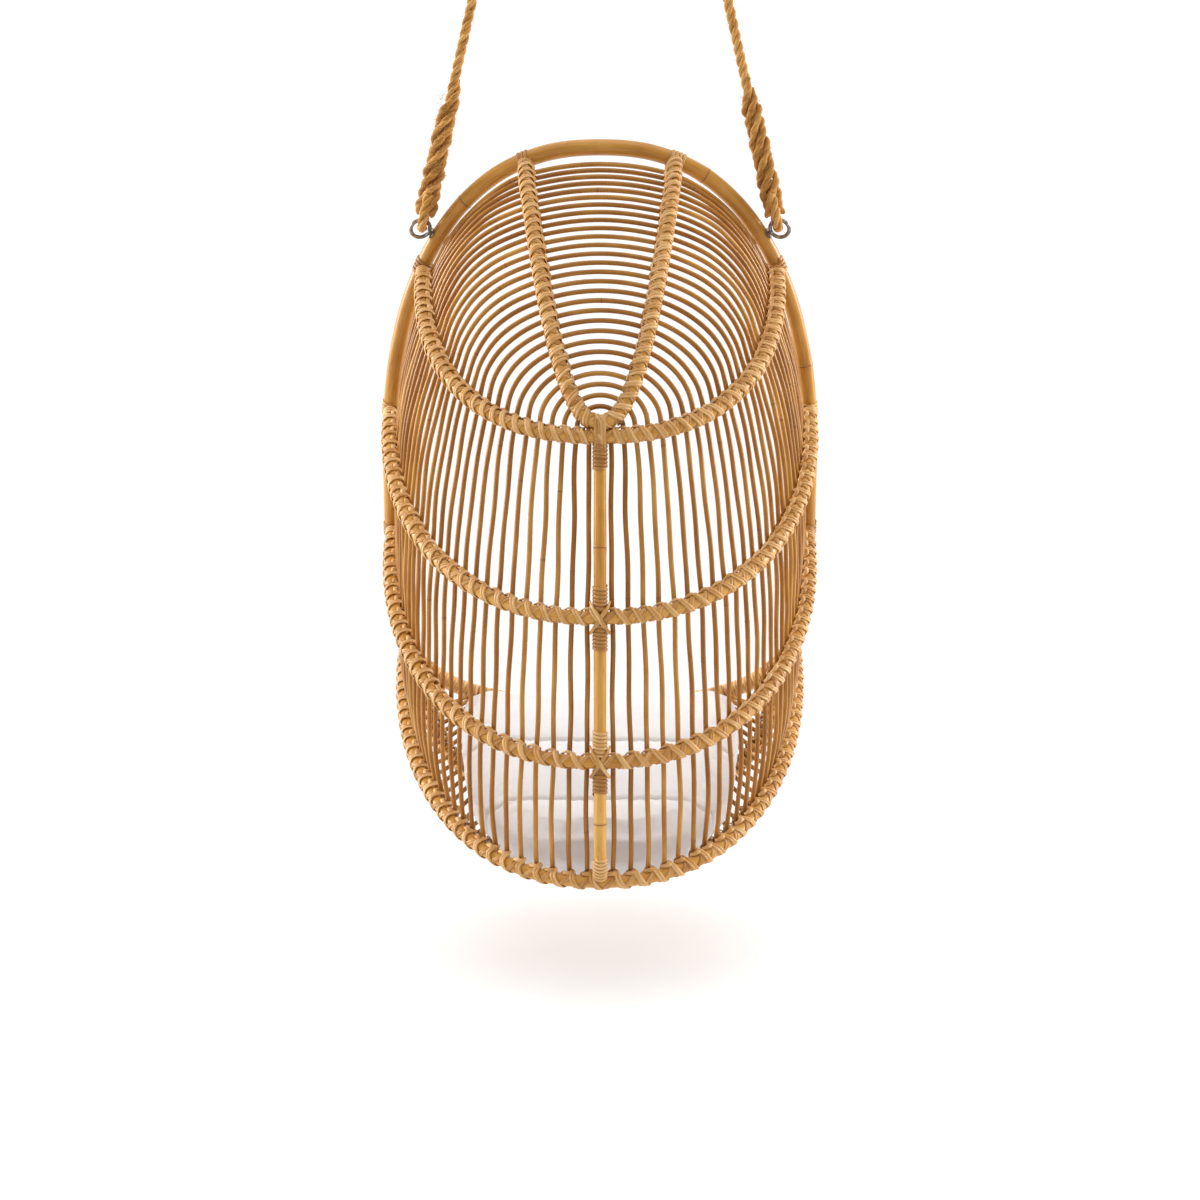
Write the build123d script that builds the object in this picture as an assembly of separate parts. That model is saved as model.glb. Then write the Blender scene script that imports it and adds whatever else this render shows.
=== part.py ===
from build123d import *
import math
import os

# Hanging rattan basket chair.  Millimetres, +Z up, the sitter faces -Y.
# The origin is midway between the two top thimbles, on the axis that the chair hangs from.

# Overall layout
HANG_HEIGHT = 1450.0        # from the rim's lowest point up to the hanging axis
ROPE_LEAN = 13.4            # each rope leans inward from the vertical by this angle
RIM_LEAN = 20.0             # the rim's plane leans back from the vertical by this angle

# Rim: two superelliptic ends joined by short straight sides
RIM_HEIGHT = 1093.0
RIM_HALF = 375.0
RIM_UPPER_START = 450.0
RIM_LOWER_END = 240.0
RIM_UPPER_POWER = 2.33
RIM_LOWER_POWER = 2.7
RIM_RADIUS = 13.5

# Poles and rods
RIB_RADIUS = 10.0
ROD_RADIUS = 4.0
ROD_COUNT = 29
SEAT_GAP = 1.5              # between a rib and the rods that cross it
RIM_MARGIN = 16.0           # from the rim to the outermost rod, along a section
LONG_ROD_COUNT = 24         # inner rods reach the lip, and the rest stop a little behind it
BUTT_GAP = 0.4              # between a pole's end and the pole that it meets
ROD_END_GAP = 1.0           # between the rim and a rod's end, which lies behind it
ROD_START = 0.25            # shift of the rods on the back and seat towards the spine, in pitches
HOOD_START = 0.11           # shift of the rods on the hood towards the apex, in pitches
HOOD_SPARE = 1.4            # pitches left between the last rod and the rim, on the hood
ARC_SHARE = 0.45            # share of a run that the arc at its end may take
INSIDE = (330.0, 400.0)     # distance back from the lip and height of a point inside the basket

# Coils of peel round the spine, beside the ribs
BINDING_RADIUS = 12.4
BINDING_LENGTH = 40.0
BINDING_CLEARANCE = 0.2

# Sections of the shell: height on the rim where the section ends, centre's distance back from
# the lip and height above it, and the power of its superelliptic outline
LIP = (66.0, 0.0, 0.0, 1.9)
SEAT_FRONT = (88.0, 200.0, -144.0, 2.4)
SEAT_MIDDLE = (114.0, 440.0, -200.0, 2.4)
SEAT_REAR = (140.0, 702.0, -131.0, 2.2)
BACK_LOWER = (386.0, 722.0, 70.0, 2.2)
BACK_UPPER = (625.0, 722.0, 301.0, 2.2)
CROWN = (887.0, 698.0, 581.0, 2.35)
SECTIONS = [
    LIP,
    (78.0, 95.0, -85.0, 2.1),
    SEAT_FRONT,
    (101.0, 310.0, -180.0, 2.4),
    SEAT_MIDDLE,
    (121.0, 560.0, -188.0, 2.3),
    (127.0, 635.0, -173.0, 2.3),
    (133.0, 677.0, -153.0, 2.25),
    SEAT_REAR,
    (152.0, 718.0, -101.0, 2.2),
    (195.0, 726.0, -50.0, 2.2),
    BACK_LOWER,
    (500.0, 724.0, 185.0, 2.2),
    BACK_UPPER,
    (755.0, 714.0, 445.0, 2.25),
    CROWN,
]
RIBS = {
    "rib_crown": CROWN,
    "rib_back_upper": BACK_UPPER,
    "rib_back_lower": BACK_LOWER,
    "rib_seat_rear": SEAT_REAR,
    "rib_seat_middle": SEAT_MIDDLE,
    "rib_seat_front": SEAT_FRONT,
}

# Hood: its centre line is an arc from the apex to the top of the rim
APEX_BACK = 698.0
APEX_RISE = 598.0
HOOD_BULGE = 50.0
HOOD_TOP_POWER = 2.05
HOOD_STEPS = 6

# Hairpin rib on the hood: its bend and its ends as shares of the hood's centre line
HAIRPIN_BEND = 0.009
HAIRPIN_END = 0.888
HAIRPIN_END_HALF = 126.0
HAIRPIN_POWER = 2.4
HAIRPIN_TRIM = 17.0

# Cushion
CUSHION_TILT = 10.0         # its top slopes down to the back
CUSHION_TOP_RISE = 36.0     # at the front edge, above the rim's lowest point
CUSHION_EDGE = 22.0         # height of the rounded upper edge
CUSHION_TOP_POWER = 5.0
CUSHION_BOWL_POWER = 2.4
# Distance back from the lip, half-width and thickness of each cross-section
CUSHION_SECTIONS = [
    (47.0, 256.0, 20.0),
    (62.0, 262.0, 36.0),
    (100.0, 268.0, 70.0),
    (205.0, 268.0, 122.0),
    (320.0, 260.0, 132.0),
    (440.0, 242.0, 122.0),
    (550.0, 200.0, 106.0),
    (615.0, 145.0, 84.0),
    (652.0, 70.0, 50.0),
]

# Eye bolts through the rim
EYE_HEIGHT = 938.0          # height on the rim, in its plane
EYE_TWIST = 18.0            # the bolts lean back from the rim's plane by this angle
EYE_HOLE_RADIUS = 13.0
EYE_WIRE_RADIUS = 3.25
EYE_OFFSET = 36.0           # from the rim's centre line to the eye's centre
BOLT_RADIUS = 4.0
BOLT_CLEARANCE = 0.3
WASHER_RADIUS = 9.0
WASHER_THICKNESS = 2.0
NUT_RADIUS = 7.5
NUT_THICKNESS = 7.0
BOLT_TAIL = 5.0
FACE_GAP = 0.15             # between the rim and a washer, and between a washer and its nut
THREAD_CLEARANCE = 0.02

# Ropes
ROPE_RADIUS = 8.25
THIMBLE_BORE = 8.0
THIMBLE_GROOVE = 14.0
THIMBLE_FLANGE = 21.0
THIMBLE_HALF_LENGTH = 14.0
THIMBLE_GROOVE_HALF = 11.5
ROPE_CLEARANCE = 0.15
# Radius and height above the eye's bearing point
SPLICE_PROFILE = [(15.0, 34.0), (23.0, 40.0), (18.0, 80.0), (16.5, 120.0), (16.5, 215.0), (10.0, 238.0)]
SEIZING_BELOW = 78.0
SEIZING_LENGTH = 26.0
SEIZING_SPAN = 24.0
SEIZING_WIDTH = 24.0
SEIZING_SHIFT = 4.0


def rim_half(height):
    """Half the rim's width at a height measured in its leaning plane."""
    if height >= RIM_UPPER_START:
        share = (height - RIM_UPPER_START) / (RIM_HEIGHT - RIM_UPPER_START)
        power = RIM_UPPER_POWER
    else:
        share = max(0.0, (RIM_LOWER_END - height) / RIM_LOWER_END)
        power = RIM_LOWER_POWER
    return RIM_HALF * max(0.0, 1.0 - min(1.0, share) ** power) ** (1.0 / power)


def eye_normal():
    """Across and up parts of the rim's outward normal at the eye bolt, in the rim's plane."""
    rise = 2.0
    run = rim_half(EYE_HEIGHT + 0.5 * rise) - rim_half(EYE_HEIGHT - 0.5 * rise)
    length = math.hypot(rise, run)
    return rise / length, -run / length


EYE_ACROSS, EYE_UP = eye_normal()
EYE_RING_RADIUS = EYE_HOLE_RADIUS + EYE_WIRE_RADIUS
SIN_ROPE = math.sin(math.radians(ROPE_LEAN))
COS_ROPE = math.cos(math.radians(ROPE_LEAN))
SIN_RIM = math.sin(math.radians(RIM_LEAN))
COS_RIM = math.cos(math.radians(RIM_LEAN))


def eye_axes(side):
    """The directions out along an eye bolt and through its ring."""
    out = Vector(side * EYE_ACROSS, EYE_UP * SIN_RIM, EYE_UP * COS_RIM)
    behind = Vector(0.0, COS_RIM, -SIN_RIM)
    twist = math.radians(EYE_TWIST)
    bolt = out * math.cos(twist) + behind * math.sin(twist)
    through = behind * math.cos(twist) - out * math.sin(twist)
    return bolt, through


def eye_bearing():
    """Where the left rope bears on its eye's wire, from the rim's lowest point."""
    bolt, through = eye_axes(1.0)
    root = Vector(rim_half(EYE_HEIGHT), EYE_HEIGHT * SIN_RIM, EYE_HEIGHT * COS_RIM)
    pull = Vector(-SIN_ROPE, 0.0, COS_ROPE)
    in_ring = (pull - through * pull.dot(through)).normalized()
    return root + bolt * EYE_OFFSET + in_ring * EYE_RING_RADIUS


BEARING = eye_bearing()
ROPE_DEPTH = BEARING.Y
ROPE_DROP = HANG_HEIGHT - BEARING.Z
THIMBLE_HALF = BEARING.X - ROPE_DROP * SIN_ROPE / COS_ROPE


def place(x, back, rise):
    """A point given from the rim's lowest point, in the part's frame."""
    return Vector(x, back - ROPE_DEPTH, rise - HANG_HEIGHT)


def in_rim_plane(x, height, forward=0.0):
    """A point given across and up the rim's plane, and in front of it."""
    return place(x, height * SIN_RIM - forward * COS_RIM, height * COS_RIM + forward * SIN_RIM)


def rim_half_loop():
    """Points of half the rim's centre line, from its lowest point to its top."""
    steps = 8
    angles = [0.5 * math.pi * step / steps for step in range(steps + 1)]
    heights = []
    for angle in angles:
        share = max(0.0, math.cos(angle)) ** (2.0 / RIM_LOWER_POWER)
        heights.append(RIM_LOWER_END * (1.0 - share))
    for angle in angles:
        share = math.sin(angle) ** (2.0 / RIM_UPPER_POWER)
        heights.append(RIM_UPPER_START + (RIM_HEIGHT - RIM_UPPER_START) * share)
    return [in_rim_plane(rim_half(height), height) for height in heights]


def section_curve(section):
    """Points of one half of a shell section, from its centre out to the rim."""
    height, back, rise, power = section
    half = rim_half(height)
    end_back = height * SIN_RIM
    end_rise = height * COS_RIM
    points = []
    steps = 72
    for step in range(steps + 1):
        angle = 0.5 * math.pi * step / steps
        x = half * math.sin(angle) ** (2.0 / power)
        if section is LIP:
            on_rim = 1.0 - (1.0 - (x / RIM_HALF) ** RIM_LOWER_POWER) ** (1.0 / RIM_LOWER_POWER)
            up = RIM_LOWER_END * on_rim
            points.append(in_rim_plane(x, up))
        else:
            depth = max(0.0, math.cos(angle)) ** (2.0 / power)
            y = end_back + (back - end_back) * depth
            z = end_rise + (rise - end_rise) * depth
            points.append(place(x, y, z))
    return points


def hood_centre(share):
    """A point of the hood's centre line, at a share of the way from the apex to the rim's top."""
    top_back = RIM_HEIGHT * SIN_RIM
    top_rise = RIM_HEIGHT * COS_RIM
    chord = math.hypot(top_back - APEX_BACK, top_rise - APEX_RISE)
    along_back = (top_back - APEX_BACK) / chord
    along_rise = (top_rise - APEX_RISE) / chord
    half_turn = 2.0 * math.atan(2.0 * HOOD_BULGE / chord)
    radius = 0.5 * chord / math.sin(half_turn)
    turn = (2.0 * share - 1.0) * half_turn
    forward = 0.5 * chord + radius * math.sin(turn)
    outward = radius * (math.cos(turn) - math.cos(half_turn))
    back = APEX_BACK + forward * along_back + outward * along_rise
    rise = APEX_RISE + forward * along_rise - outward * along_back
    return back, rise


def hood_section(share):
    """The shell section that crosses the hood's centre line at a share of its length."""
    height = CROWN[0] + (RIM_HEIGHT - CROWN[0]) * share
    back, rise = hood_centre(share)
    return (height, back, rise, CROWN[3] + (HOOD_TOP_POWER - CROWN[3]) * share)


def along(points, share):
    """The point at a share of a polyline's length."""
    lengths = [(b - a).length for a, b in zip(points, points[1:])]
    left = share * sum(lengths)
    for index, length in enumerate(lengths):
        if left <= length or index == len(lengths) - 1:
            return points[index] + (points[index + 1] - points[index]) * (left / length)
        left -= length


def back_share(number, curve):
    """How far round a back or seat section rod number crosses it, from 0 at the spine to 1."""
    length = sum((b - a).length for a, b in zip(curve, curve[1:]))
    return (number - ROD_START) / (ROD_COUNT - ROD_START) * (1.0 - RIM_MARGIN / length)


def hood_share(number):
    """How far up the hood's centre line rod number crosses it, from 0 at the apex to 1."""
    return (number - HOOD_START) / (ROD_COUNT + HOOD_SPARE)


SECTION_CURVES = [section_curve(section) for section in SECTIONS]


def shell_point(station, number):
    """A point of the shell's middle surface, where rod number passes a station of its path."""
    if station < len(SECTIONS):
        curve = SECTION_CURVES[station]
        return along(curve, back_share(number, curve))
    angle = 0.5 * math.pi * (station - len(SECTIONS) + 1) / HOOD_STEPS
    low = back_share(number, SECTION_CURVES[-1])
    high = hood_share(number)
    reach = low * math.cos(angle) ** 2 + high * math.sin(angle) ** 2
    up = high * math.sin(angle)
    across = math.sqrt(max(0.0, reach * reach - up * up) / (1.0 - up * up))
    if station == len(SECTIONS) + HOOD_STEPS - 1:
        across = 0.0
    return along(section_curve(hood_section(up)), across)


def mirrored(point):
    return Vector(-point.X, point.Y, point.Z)


def inward(station, number):
    """The unit normal of the shell's middle surface, pointing into the basket."""
    last = len(SECTIONS) + HOOD_STEPS - 1
    before = shell_point(max(0, station - 1), number)
    if station == last:
        after = mirrored(before)
    else:
        after = shell_point(station + 1, number)
    outer = shell_point(station, number + 0.25)
    inner = shell_point(station, number - 0.25)
    normal = (after - before).cross(outer - inner).normalized()
    middle = place(0.0, *INSIDE)
    if normal.dot(middle - shell_point(station, number)) < 0.0:
        normal = -normal
    return normal


def eased(points):
    """Corners set a little outside the points, so that the rounded path passes through them."""
    corners = [points[0]]
    for a, b, c in zip(points, points[1:], points[2:]):
        corners.append(b + (b - (a + c) * 0.5) * 0.5 * ARC_SHARE)
    corners.append(points[-1])
    return corners


def rounded(points):
    """A path of straight runs joined by tangent arcs, as large as the runs allow."""
    radii = []
    for a, b, c in zip(points, points[1:], points[2:]):
        turn = math.radians((b - a).get_angle(c - b))
        shorter = min((b - a).length, (c - b).length)
        radii.append(ARC_SHARE * shorter / math.tan(0.5 * turn))
    return FilletPolyline(*points, radius=radii)


def tube(points, radius):
    path = rounded(points)
    start = Plane(origin=path @ 0, z_dir=path % 0)
    return sweep(start * Circle(radius), path=path)


def save(solid, name):
    solid.label = name
    export_step(solid, "parts/" + name + ".step")


def rod(number):
    """A thin rod from the lip under the seat, up the back, over the hood and back to the lip."""
    half = []
    if number <= LONG_ROD_COUNT:
        behind_rim = Vector(0.0, COS_RIM, -SIN_RIM)
        half.append(shell_point(0, number) + behind_rim * (RIM_RADIUS + ROD_RADIUS + ROD_END_GAP))
    offset = RIB_RADIUS + ROD_RADIUS + SEAT_GAP
    for station in range(1, len(SECTIONS) + HOOD_STEPS):
        half.append(shell_point(station, number) + inward(station, number) * offset)
    other = [mirrored(point) for point in reversed(half[:-1])]
    return tube(eased(half + other), ROD_RADIUS)


def rib(section):
    """A pole along a whole section, butted against the rim at both ends."""
    curve = section_curve(section)
    rim_normal = Vector(0.0, COS_RIM, -SIN_RIM)
    tilt = math.radians((curve[-2] - curve[-1]).get_angle(rim_normal))
    trim = RIM_RADIUS + BUTT_GAP + RIB_RADIUS * math.tan(tilt)
    length = sum((b - a).length for a, b in zip(curve, curve[1:]))
    end = 1.0 - trim / length
    steps = 9
    half = [along(curve, end * step / steps) for step in range(steps, -1, -1)]
    other = [mirrored(point) for point in reversed(half[:-1])]
    return tube(eased(half + other), RIB_RADIUS)


def rim():
    """One pole bent to an oval, its ends butted at the middle of the lip."""
    half = rim_half_loop()
    half[0] = half[0] + Vector(0.5 * BUTT_GAP, 0.0, 0.0)
    other = [mirrored(point) for point in reversed(half[:-1])]
    pole = tube(eased(half + other), RIM_RADIUS)
    for side in (-1.0, 1.0):
        plane = bolt_plane(side)
        length = 4.0 * RIM_RADIUS
        pole -= plane * Cylinder(BOLT_RADIUS + BOLT_CLEARANCE, length)
    return pole


def bolt_plane(side):
    """On the rim's centre line at an eye bolt, z pointing out along the bolt."""
    origin = in_rim_plane(side * rim_half(EYE_HEIGHT), EYE_HEIGHT)
    bolt, through = eye_axes(side)
    return Plane(origin=origin, x_dir=through, z_dir=bolt)


def eye_bolt(side):
    plane = bolt_plane(side)
    ring = Torus(EYE_RING_RADIUS, EYE_WIRE_RADIUS)
    ring = Pos(0.0, 0.0, EYE_OFFSET) * (Rot(0.0, 90.0, 0.0) * ring)
    low = -(RIM_RADIUS + WASHER_THICKNESS + NUT_THICKNESS + BOLT_TAIL)
    high = EYE_OFFSET - EYE_RING_RADIUS
    shank = Pos(0.0, 0.0, 0.5 * (low + high)) * Cylinder(BOLT_RADIUS, high - low)
    return plane * (ring + shank)


def washers():
    """One each side of the rim, under both eye bolts."""
    solids = []
    ring = Cylinder(WASHER_RADIUS, WASHER_THICKNESS)
    ring -= Cylinder(BOLT_RADIUS + BOLT_CLEARANCE, 2.0 * WASHER_THICKNESS)
    offset = RIM_RADIUS + FACE_GAP + 0.5 * WASHER_THICKNESS
    for side in (-1.0, 1.0):
        for end in (-1.0, 1.0):
            solids.append(bolt_plane(side) * (Pos(0.0, 0.0, end * offset) * ring))
    return Compound(children=solids)


def nuts():
    solids = []
    nut = extrude(RegularPolygon(NUT_RADIUS, 6), amount=NUT_THICKNESS)
    nut -= Cylinder(BOLT_RADIUS + THREAD_CLEARANCE, 4.0 * NUT_THICKNESS)
    start = RIM_RADIUS + 2.0 * FACE_GAP + WASHER_THICKNESS + NUT_THICKNESS
    for side in (-1.0, 1.0):
        solids.append(bolt_plane(side) * (Pos(0.0, 0.0, -start) * nut))
    return Compound(children=solids)


def hood_surface(share, half):
    """A point of the hood's middle surface, at a share of its centre line and a half-width."""
    curve = section_curve(hood_section(share))
    for a, b in zip(curve, curve[1:]):
        if a.X <= half <= b.X:
            return a + (b - a) * ((half - a.X) / (b.X - a.X))
    return curve[-1]


def hairpin():
    """The hood's rib: a U from the rim's top, round the apex and back."""
    half = []
    steps = 10
    for part in [step / steps for step in range(steps)] + [0.96]:
        share = HAIRPIN_BEND + (HAIRPIN_END - HAIRPIN_BEND) * part ** HAIRPIN_POWER
        half.append(hood_surface(share, HAIRPIN_END_HALF * part))
    curve = section_curve(hood_section(HAIRPIN_END))
    length = sum((b - a).length for a, b in zip(curve, curve[1:]))
    half.append(along(curve, 1.0 - HAIRPIN_TRIM / length))
    other = [mirrored(point) for point in half[1:]]
    return tube(eased(list(reversed(half)) + other), RIB_RADIUS)


def spine(lower, upper):
    """A pole up the middle of the back, butted between two ribs."""
    stations = range(SECTIONS.index(lower), SECTIONS.index(upper) + 1)
    points = [SECTION_CURVES[station][0] for station in stations]
    trim = RIB_RADIUS + BUTT_GAP
    points[0] = points[0] + (points[1] - points[0]).normalized() * trim
    points[-1] = points[-1] + (points[-2] - points[-1]).normalized() * trim
    return tube(points, RIB_RADIUS)


def binding(rib_section, next_section):
    """A coil of peel round the spine, from one rib towards the next."""
    start = place(0.0, rib_section[1], rib_section[2])
    along_spine = (place(0.0, next_section[1], next_section[2]) - start).normalized()
    plane = Plane(origin=start + along_spine * (RIB_RADIUS + BUTT_GAP), z_dir=along_spine)
    sleeve = Cylinder(BINDING_RADIUS, BINDING_LENGTH)
    sleeve -= Cylinder(RIB_RADIUS + BINDING_CLEARANCE, 2.0 * BINDING_LENGTH)
    return plane * (Pos(0.0, 0.0, 0.5 * BINDING_LENGTH) * sleeve)


def bindings():
    """One coil on each side of the back's ribs, and one below the crown."""
    solids = []
    for section in (BACK_LOWER, BACK_UPPER, CROWN):
        station = SECTIONS.index(section)
        solids.append(binding(section, SECTIONS[station - 1]))
        if section is not CROWN:
            solids.append(binding(section, SECTIONS[station + 1]))
    return Compound(children=solids)


def cushion_section(depth, half, top, thickness):
    """A closed outline across the cushion: nearly flat above, bowl-shaped below."""
    points = []
    steps = 12
    edge = min(CUSHION_EDGE, 0.5 * thickness)
    for step in range(2 * steps):
        angle = math.pi * step / steps
        across = math.cos(angle)
        up = math.sin(angle)
        power = CUSHION_TOP_POWER if up >= 0.0 else CUSHION_BOWL_POWER
        reach = edge if up >= 0.0 else thickness - edge
        x = half * math.copysign(abs(across) ** (2.0 / power), across)
        z = reach * math.copysign(abs(up) ** (2.0 / power), up)
        points.append(place(x, depth, top - edge + z))
    return make_face(Spline(*points, periodic=True))


def cushion():
    sections = []
    for depth, half, thickness in CUSHION_SECTIONS:
        drop = (depth - CUSHION_SECTIONS[0][0]) * math.tan(math.radians(CUSHION_TILT))
        sections.append(cushion_section(depth, half, CUSHION_TOP_RISE - drop, thickness))
    return loft(sections)


def rope_point(side, foot, behind, up):
    """A point given from a foot point: behind it, and up along the leaning rope."""
    return foot + Vector(-side * SIN_ROPE * up, behind, COS_ROPE * up)


def rope_route(side):
    """Corners of the rope: tail at the eye, round the eye, up, round the thimble, tail."""
    eye = Vector(side * BEARING.X, 0.0, -ROPE_DROP)
    top = Vector(side * THIMBLE_HALF, 0.0, 0.0)
    route = [
        rope_point(side, eye, 13.0, 42.0),
        rope_point(side, eye, 18.4, 24.0),
        rope_point(side, eye, 18.4, -13.0),
        rope_point(side, eye, -18.4, -13.0),
        rope_point(side, eye, -18.4, 24.0),
        rope_point(side, eye, 0.0, 72.0),
        rope_point(side, top, 0.0, -98.0),
        rope_point(side, top, -23.5, -21.0),
        rope_point(side, top, -23.5, 23.0),
        rope_point(side, top, 23.5, 23.0),
        rope_point(side, top, 23.5, -21.0),
        rope_point(side, top, 21.0, -50.0),
        rope_point(side, top, 16.0, -82.0),
    ]
    return route


def rope_frame(side, up):
    """A plane across the rope's axis, at a height above the eye's bearing point."""
    eye = Vector(side * BEARING.X, 0.0, -ROPE_DROP)
    axis = Vector(-side * SIN_ROPE, 0.0, COS_ROPE)
    return Plane(origin=eye + axis * up, x_dir=Vector(0.0, 1.0, 0.0), z_dir=axis)


def revolved(profile):
    """A solid turned about z from radius and height pairs, closed along the axis."""
    points = [(0.0, profile[0][1])] + profile + [(0.0, profile[-1][1])]
    face = make_face(Plane.XZ * Polyline(*points, close=True))
    return revolve(face, axis=Axis.Z)


def splice(side):
    """The doubled length above the eye, where the tail is tucked back through the rope."""
    body = rope_frame(side, 0.0) * revolved(SPLICE_PROFILE)
    return body - tube(rope_route(side), ROPE_RADIUS + ROPE_CLEARANCE)


def seizing(side):
    """Twine bound round the rope and its tail below the thimble."""
    length = ROPE_DROP / COS_ROPE
    plane = rope_frame(side, length - SEIZING_BELOW)
    body = plane * extrude(SlotCenterToCenter(SEIZING_SPAN, SEIZING_WIDTH), amount=SEIZING_LENGTH)
    body = Pos(0.0, SEIZING_SHIFT, 0.0) * body
    return body - tube(rope_route(side), ROPE_RADIUS + ROPE_CLEARANCE)


def thimble(side):
    """A round grooved thimble that the rope's upper eye bears on, bored for a bolt."""
    profile = [
        (THIMBLE_FLANGE, -THIMBLE_HALF_LENGTH),
        (THIMBLE_FLANGE, -THIMBLE_GROOVE_HALF),
        (THIMBLE_GROOVE, -0.75 * THIMBLE_GROOVE_HALF),
        (THIMBLE_GROOVE, 0.75 * THIMBLE_GROOVE_HALF),
        (THIMBLE_FLANGE, THIMBLE_GROOVE_HALF),
        (THIMBLE_FLANGE, THIMBLE_HALF_LENGTH),
    ]
    body = revolved(profile) - Cylinder(THIMBLE_BORE, 4.0 * THIMBLE_HALF_LENGTH)
    axis = Vector(COS_ROPE, 0.0, side * SIN_ROPE)
    plane = Plane(origin=Vector(side * THIMBLE_HALF, 0.0, 0.0), x_dir=Vector(0.0, 1.0, 0.0), z_dir=axis)
    return plane * body


def check_rope(side):
    """Prints the rope's bend radii, and its volume against section times length."""
    route = rope_route(side)
    path = rounded(route)
    for a, b, c in zip(route, route[1:], route[2:]):
        turn = math.radians((b - a).get_angle(c - b))
        radius = ARC_SHARE * min((b - a).length, (c - b).length) / math.tan(0.5 * turn)
        print("rope turn", round(math.degrees(turn), 1), "radius", round(radius, 1))
    expected = math.pi * ROPE_RADIUS ** 2 * path.length
    print("rope length", round(path.length, 1), "volume ratio", tube(route, ROPE_RADIUS).volume / expected)


os.makedirs("parts", exist_ok=True)
save(rim(), "rim_hoop")
for name, section in RIBS.items():
    save(rib(section), name)
save(hairpin(), "rib_hood_hairpin")
save(spine(SEAT_REAR, BACK_LOWER), "spine_lower")
save(spine(BACK_LOWER, BACK_UPPER), "spine_middle")
save(spine(BACK_UPPER, CROWN), "spine_upper")
for number in range(1, ROD_COUNT + 1):
    save(rod(number), "shell_rod_" + str(number).zfill(2))
save(bindings(), "spine_bindings")
save(cushion(), "seat_cushion")
for side, name in ((1.0, "left"), (-1.0, "right")):
    save(eye_bolt(side), "eye_bolt_" + name)
    save(tube(rope_route(side), ROPE_RADIUS), "rope_" + name)
    save(splice(side), "rope_splice_" + name)
    save(seizing(side), "rope_seizing_" + name)
    save(thimble(side), "rope_thimble_" + name)
save(washers(), "eye_bolt_washers")
save(nuts(), "eye_bolt_nuts")
check_rope(1.0)
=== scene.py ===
import math
import random

import bpy
import numpy as np
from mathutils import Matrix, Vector


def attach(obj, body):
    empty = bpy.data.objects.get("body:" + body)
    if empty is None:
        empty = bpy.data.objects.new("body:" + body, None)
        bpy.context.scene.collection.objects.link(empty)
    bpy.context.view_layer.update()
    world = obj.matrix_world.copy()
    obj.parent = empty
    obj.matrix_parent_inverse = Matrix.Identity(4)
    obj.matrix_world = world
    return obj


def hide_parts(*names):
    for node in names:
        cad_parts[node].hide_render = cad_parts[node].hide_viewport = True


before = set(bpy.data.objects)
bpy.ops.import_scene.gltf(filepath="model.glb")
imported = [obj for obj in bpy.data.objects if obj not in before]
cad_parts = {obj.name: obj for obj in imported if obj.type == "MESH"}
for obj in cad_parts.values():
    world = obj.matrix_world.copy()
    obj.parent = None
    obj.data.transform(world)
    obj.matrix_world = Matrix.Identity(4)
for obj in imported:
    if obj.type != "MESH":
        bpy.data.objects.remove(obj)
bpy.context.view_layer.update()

# Hanging rattan basket chair: the looks, in metres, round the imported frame.

UP = np.array((0.0, 0.0, 1.0))
BACK = np.array((0.0, 1.0, 0.0))

# Layout of the basket, as in the part
HANG_HEIGHT = 1.450
ROPE_DEPTH = 0.34345
ROPE_LEAN = math.radians(13.4)
RIM_LEAN = math.radians(20.0)
RIM_HEIGHT = 1.093
RIM_HALF = 0.375
RIM_UPPER_START = 0.450
RIM_LOWER_END = 0.240
RIM_UPPER_POWER = 2.33
RIM_LOWER_POWER = 2.7
RIM_RADIUS = 0.0135
RIB_RADIUS = 0.010
ROD_RADIUS = 0.004
ROD_COUNT = 29
LONG_ROD_COUNT = 24
SEAT_GAP = 0.0015
RIM_MARGIN = 0.016
BUTT_GAP = 0.0004
ROD_END_GAP = 0.001
ROD_START = 0.25
HOOD_START = 0.11
HOOD_SPARE = 1.4
INSIDE = (0.330, 0.400)     # distance back and height of a point in the room of the basket
SECTION_STEPS = 72

# Sections of the shell: height on the rim, distance back and height of the middle, power
LIP = (0.066, 0.0, 0.0, 1.9)
SEAT_FRONT = (0.088, 0.200, -0.144, 2.4)
SEAT_MIDDLE = (0.114, 0.440, -0.200, 2.4)
SEAT_REAR = (0.140, 0.702, -0.131, 2.2)
BACK_LOWER = (0.386, 0.722, 0.070, 2.2)
BACK_UPPER = (0.625, 0.722, 0.301, 2.2)
CROWN = (0.887, 0.698, 0.581, 2.35)
SECTIONS = [
    LIP,
    (0.078, 0.095, -0.085, 2.1),
    SEAT_FRONT,
    (0.101, 0.310, -0.180, 2.4),
    SEAT_MIDDLE,
    (0.121, 0.560, -0.188, 2.3),
    (0.127, 0.635, -0.173, 2.3),
    (0.133, 0.677, -0.153, 2.25),
    SEAT_REAR,
    (0.152, 0.718, -0.101, 2.2),
    (0.195, 0.726, -0.050, 2.2),
    BACK_LOWER,
    (0.500, 0.724, 0.185, 2.2),
    BACK_UPPER,
    (0.755, 0.714, 0.445, 2.25),
    CROWN,
]
RIBS = {
    "crown": CROWN,
    "back_upper": BACK_UPPER,
    "back_lower": BACK_LOWER,
    "seat_rear": SEAT_REAR,
    "seat_middle": SEAT_MIDDLE,
    "seat_front": SEAT_FRONT,
}

# Hood and its hairpin rib
APEX_BACK = 0.698
APEX_RISE = 0.598
HOOD_BULGE = 0.050
HOOD_TOP_POWER = 2.05
HOOD_STEPS = 6
HAIRPIN_BEND = 0.009
HAIRPIN_END = 0.888
HAIRPIN_END_HALF = 0.126
HAIRPIN_POWER = 2.4
HAIRPIN_TRIM = 0.017

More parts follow.
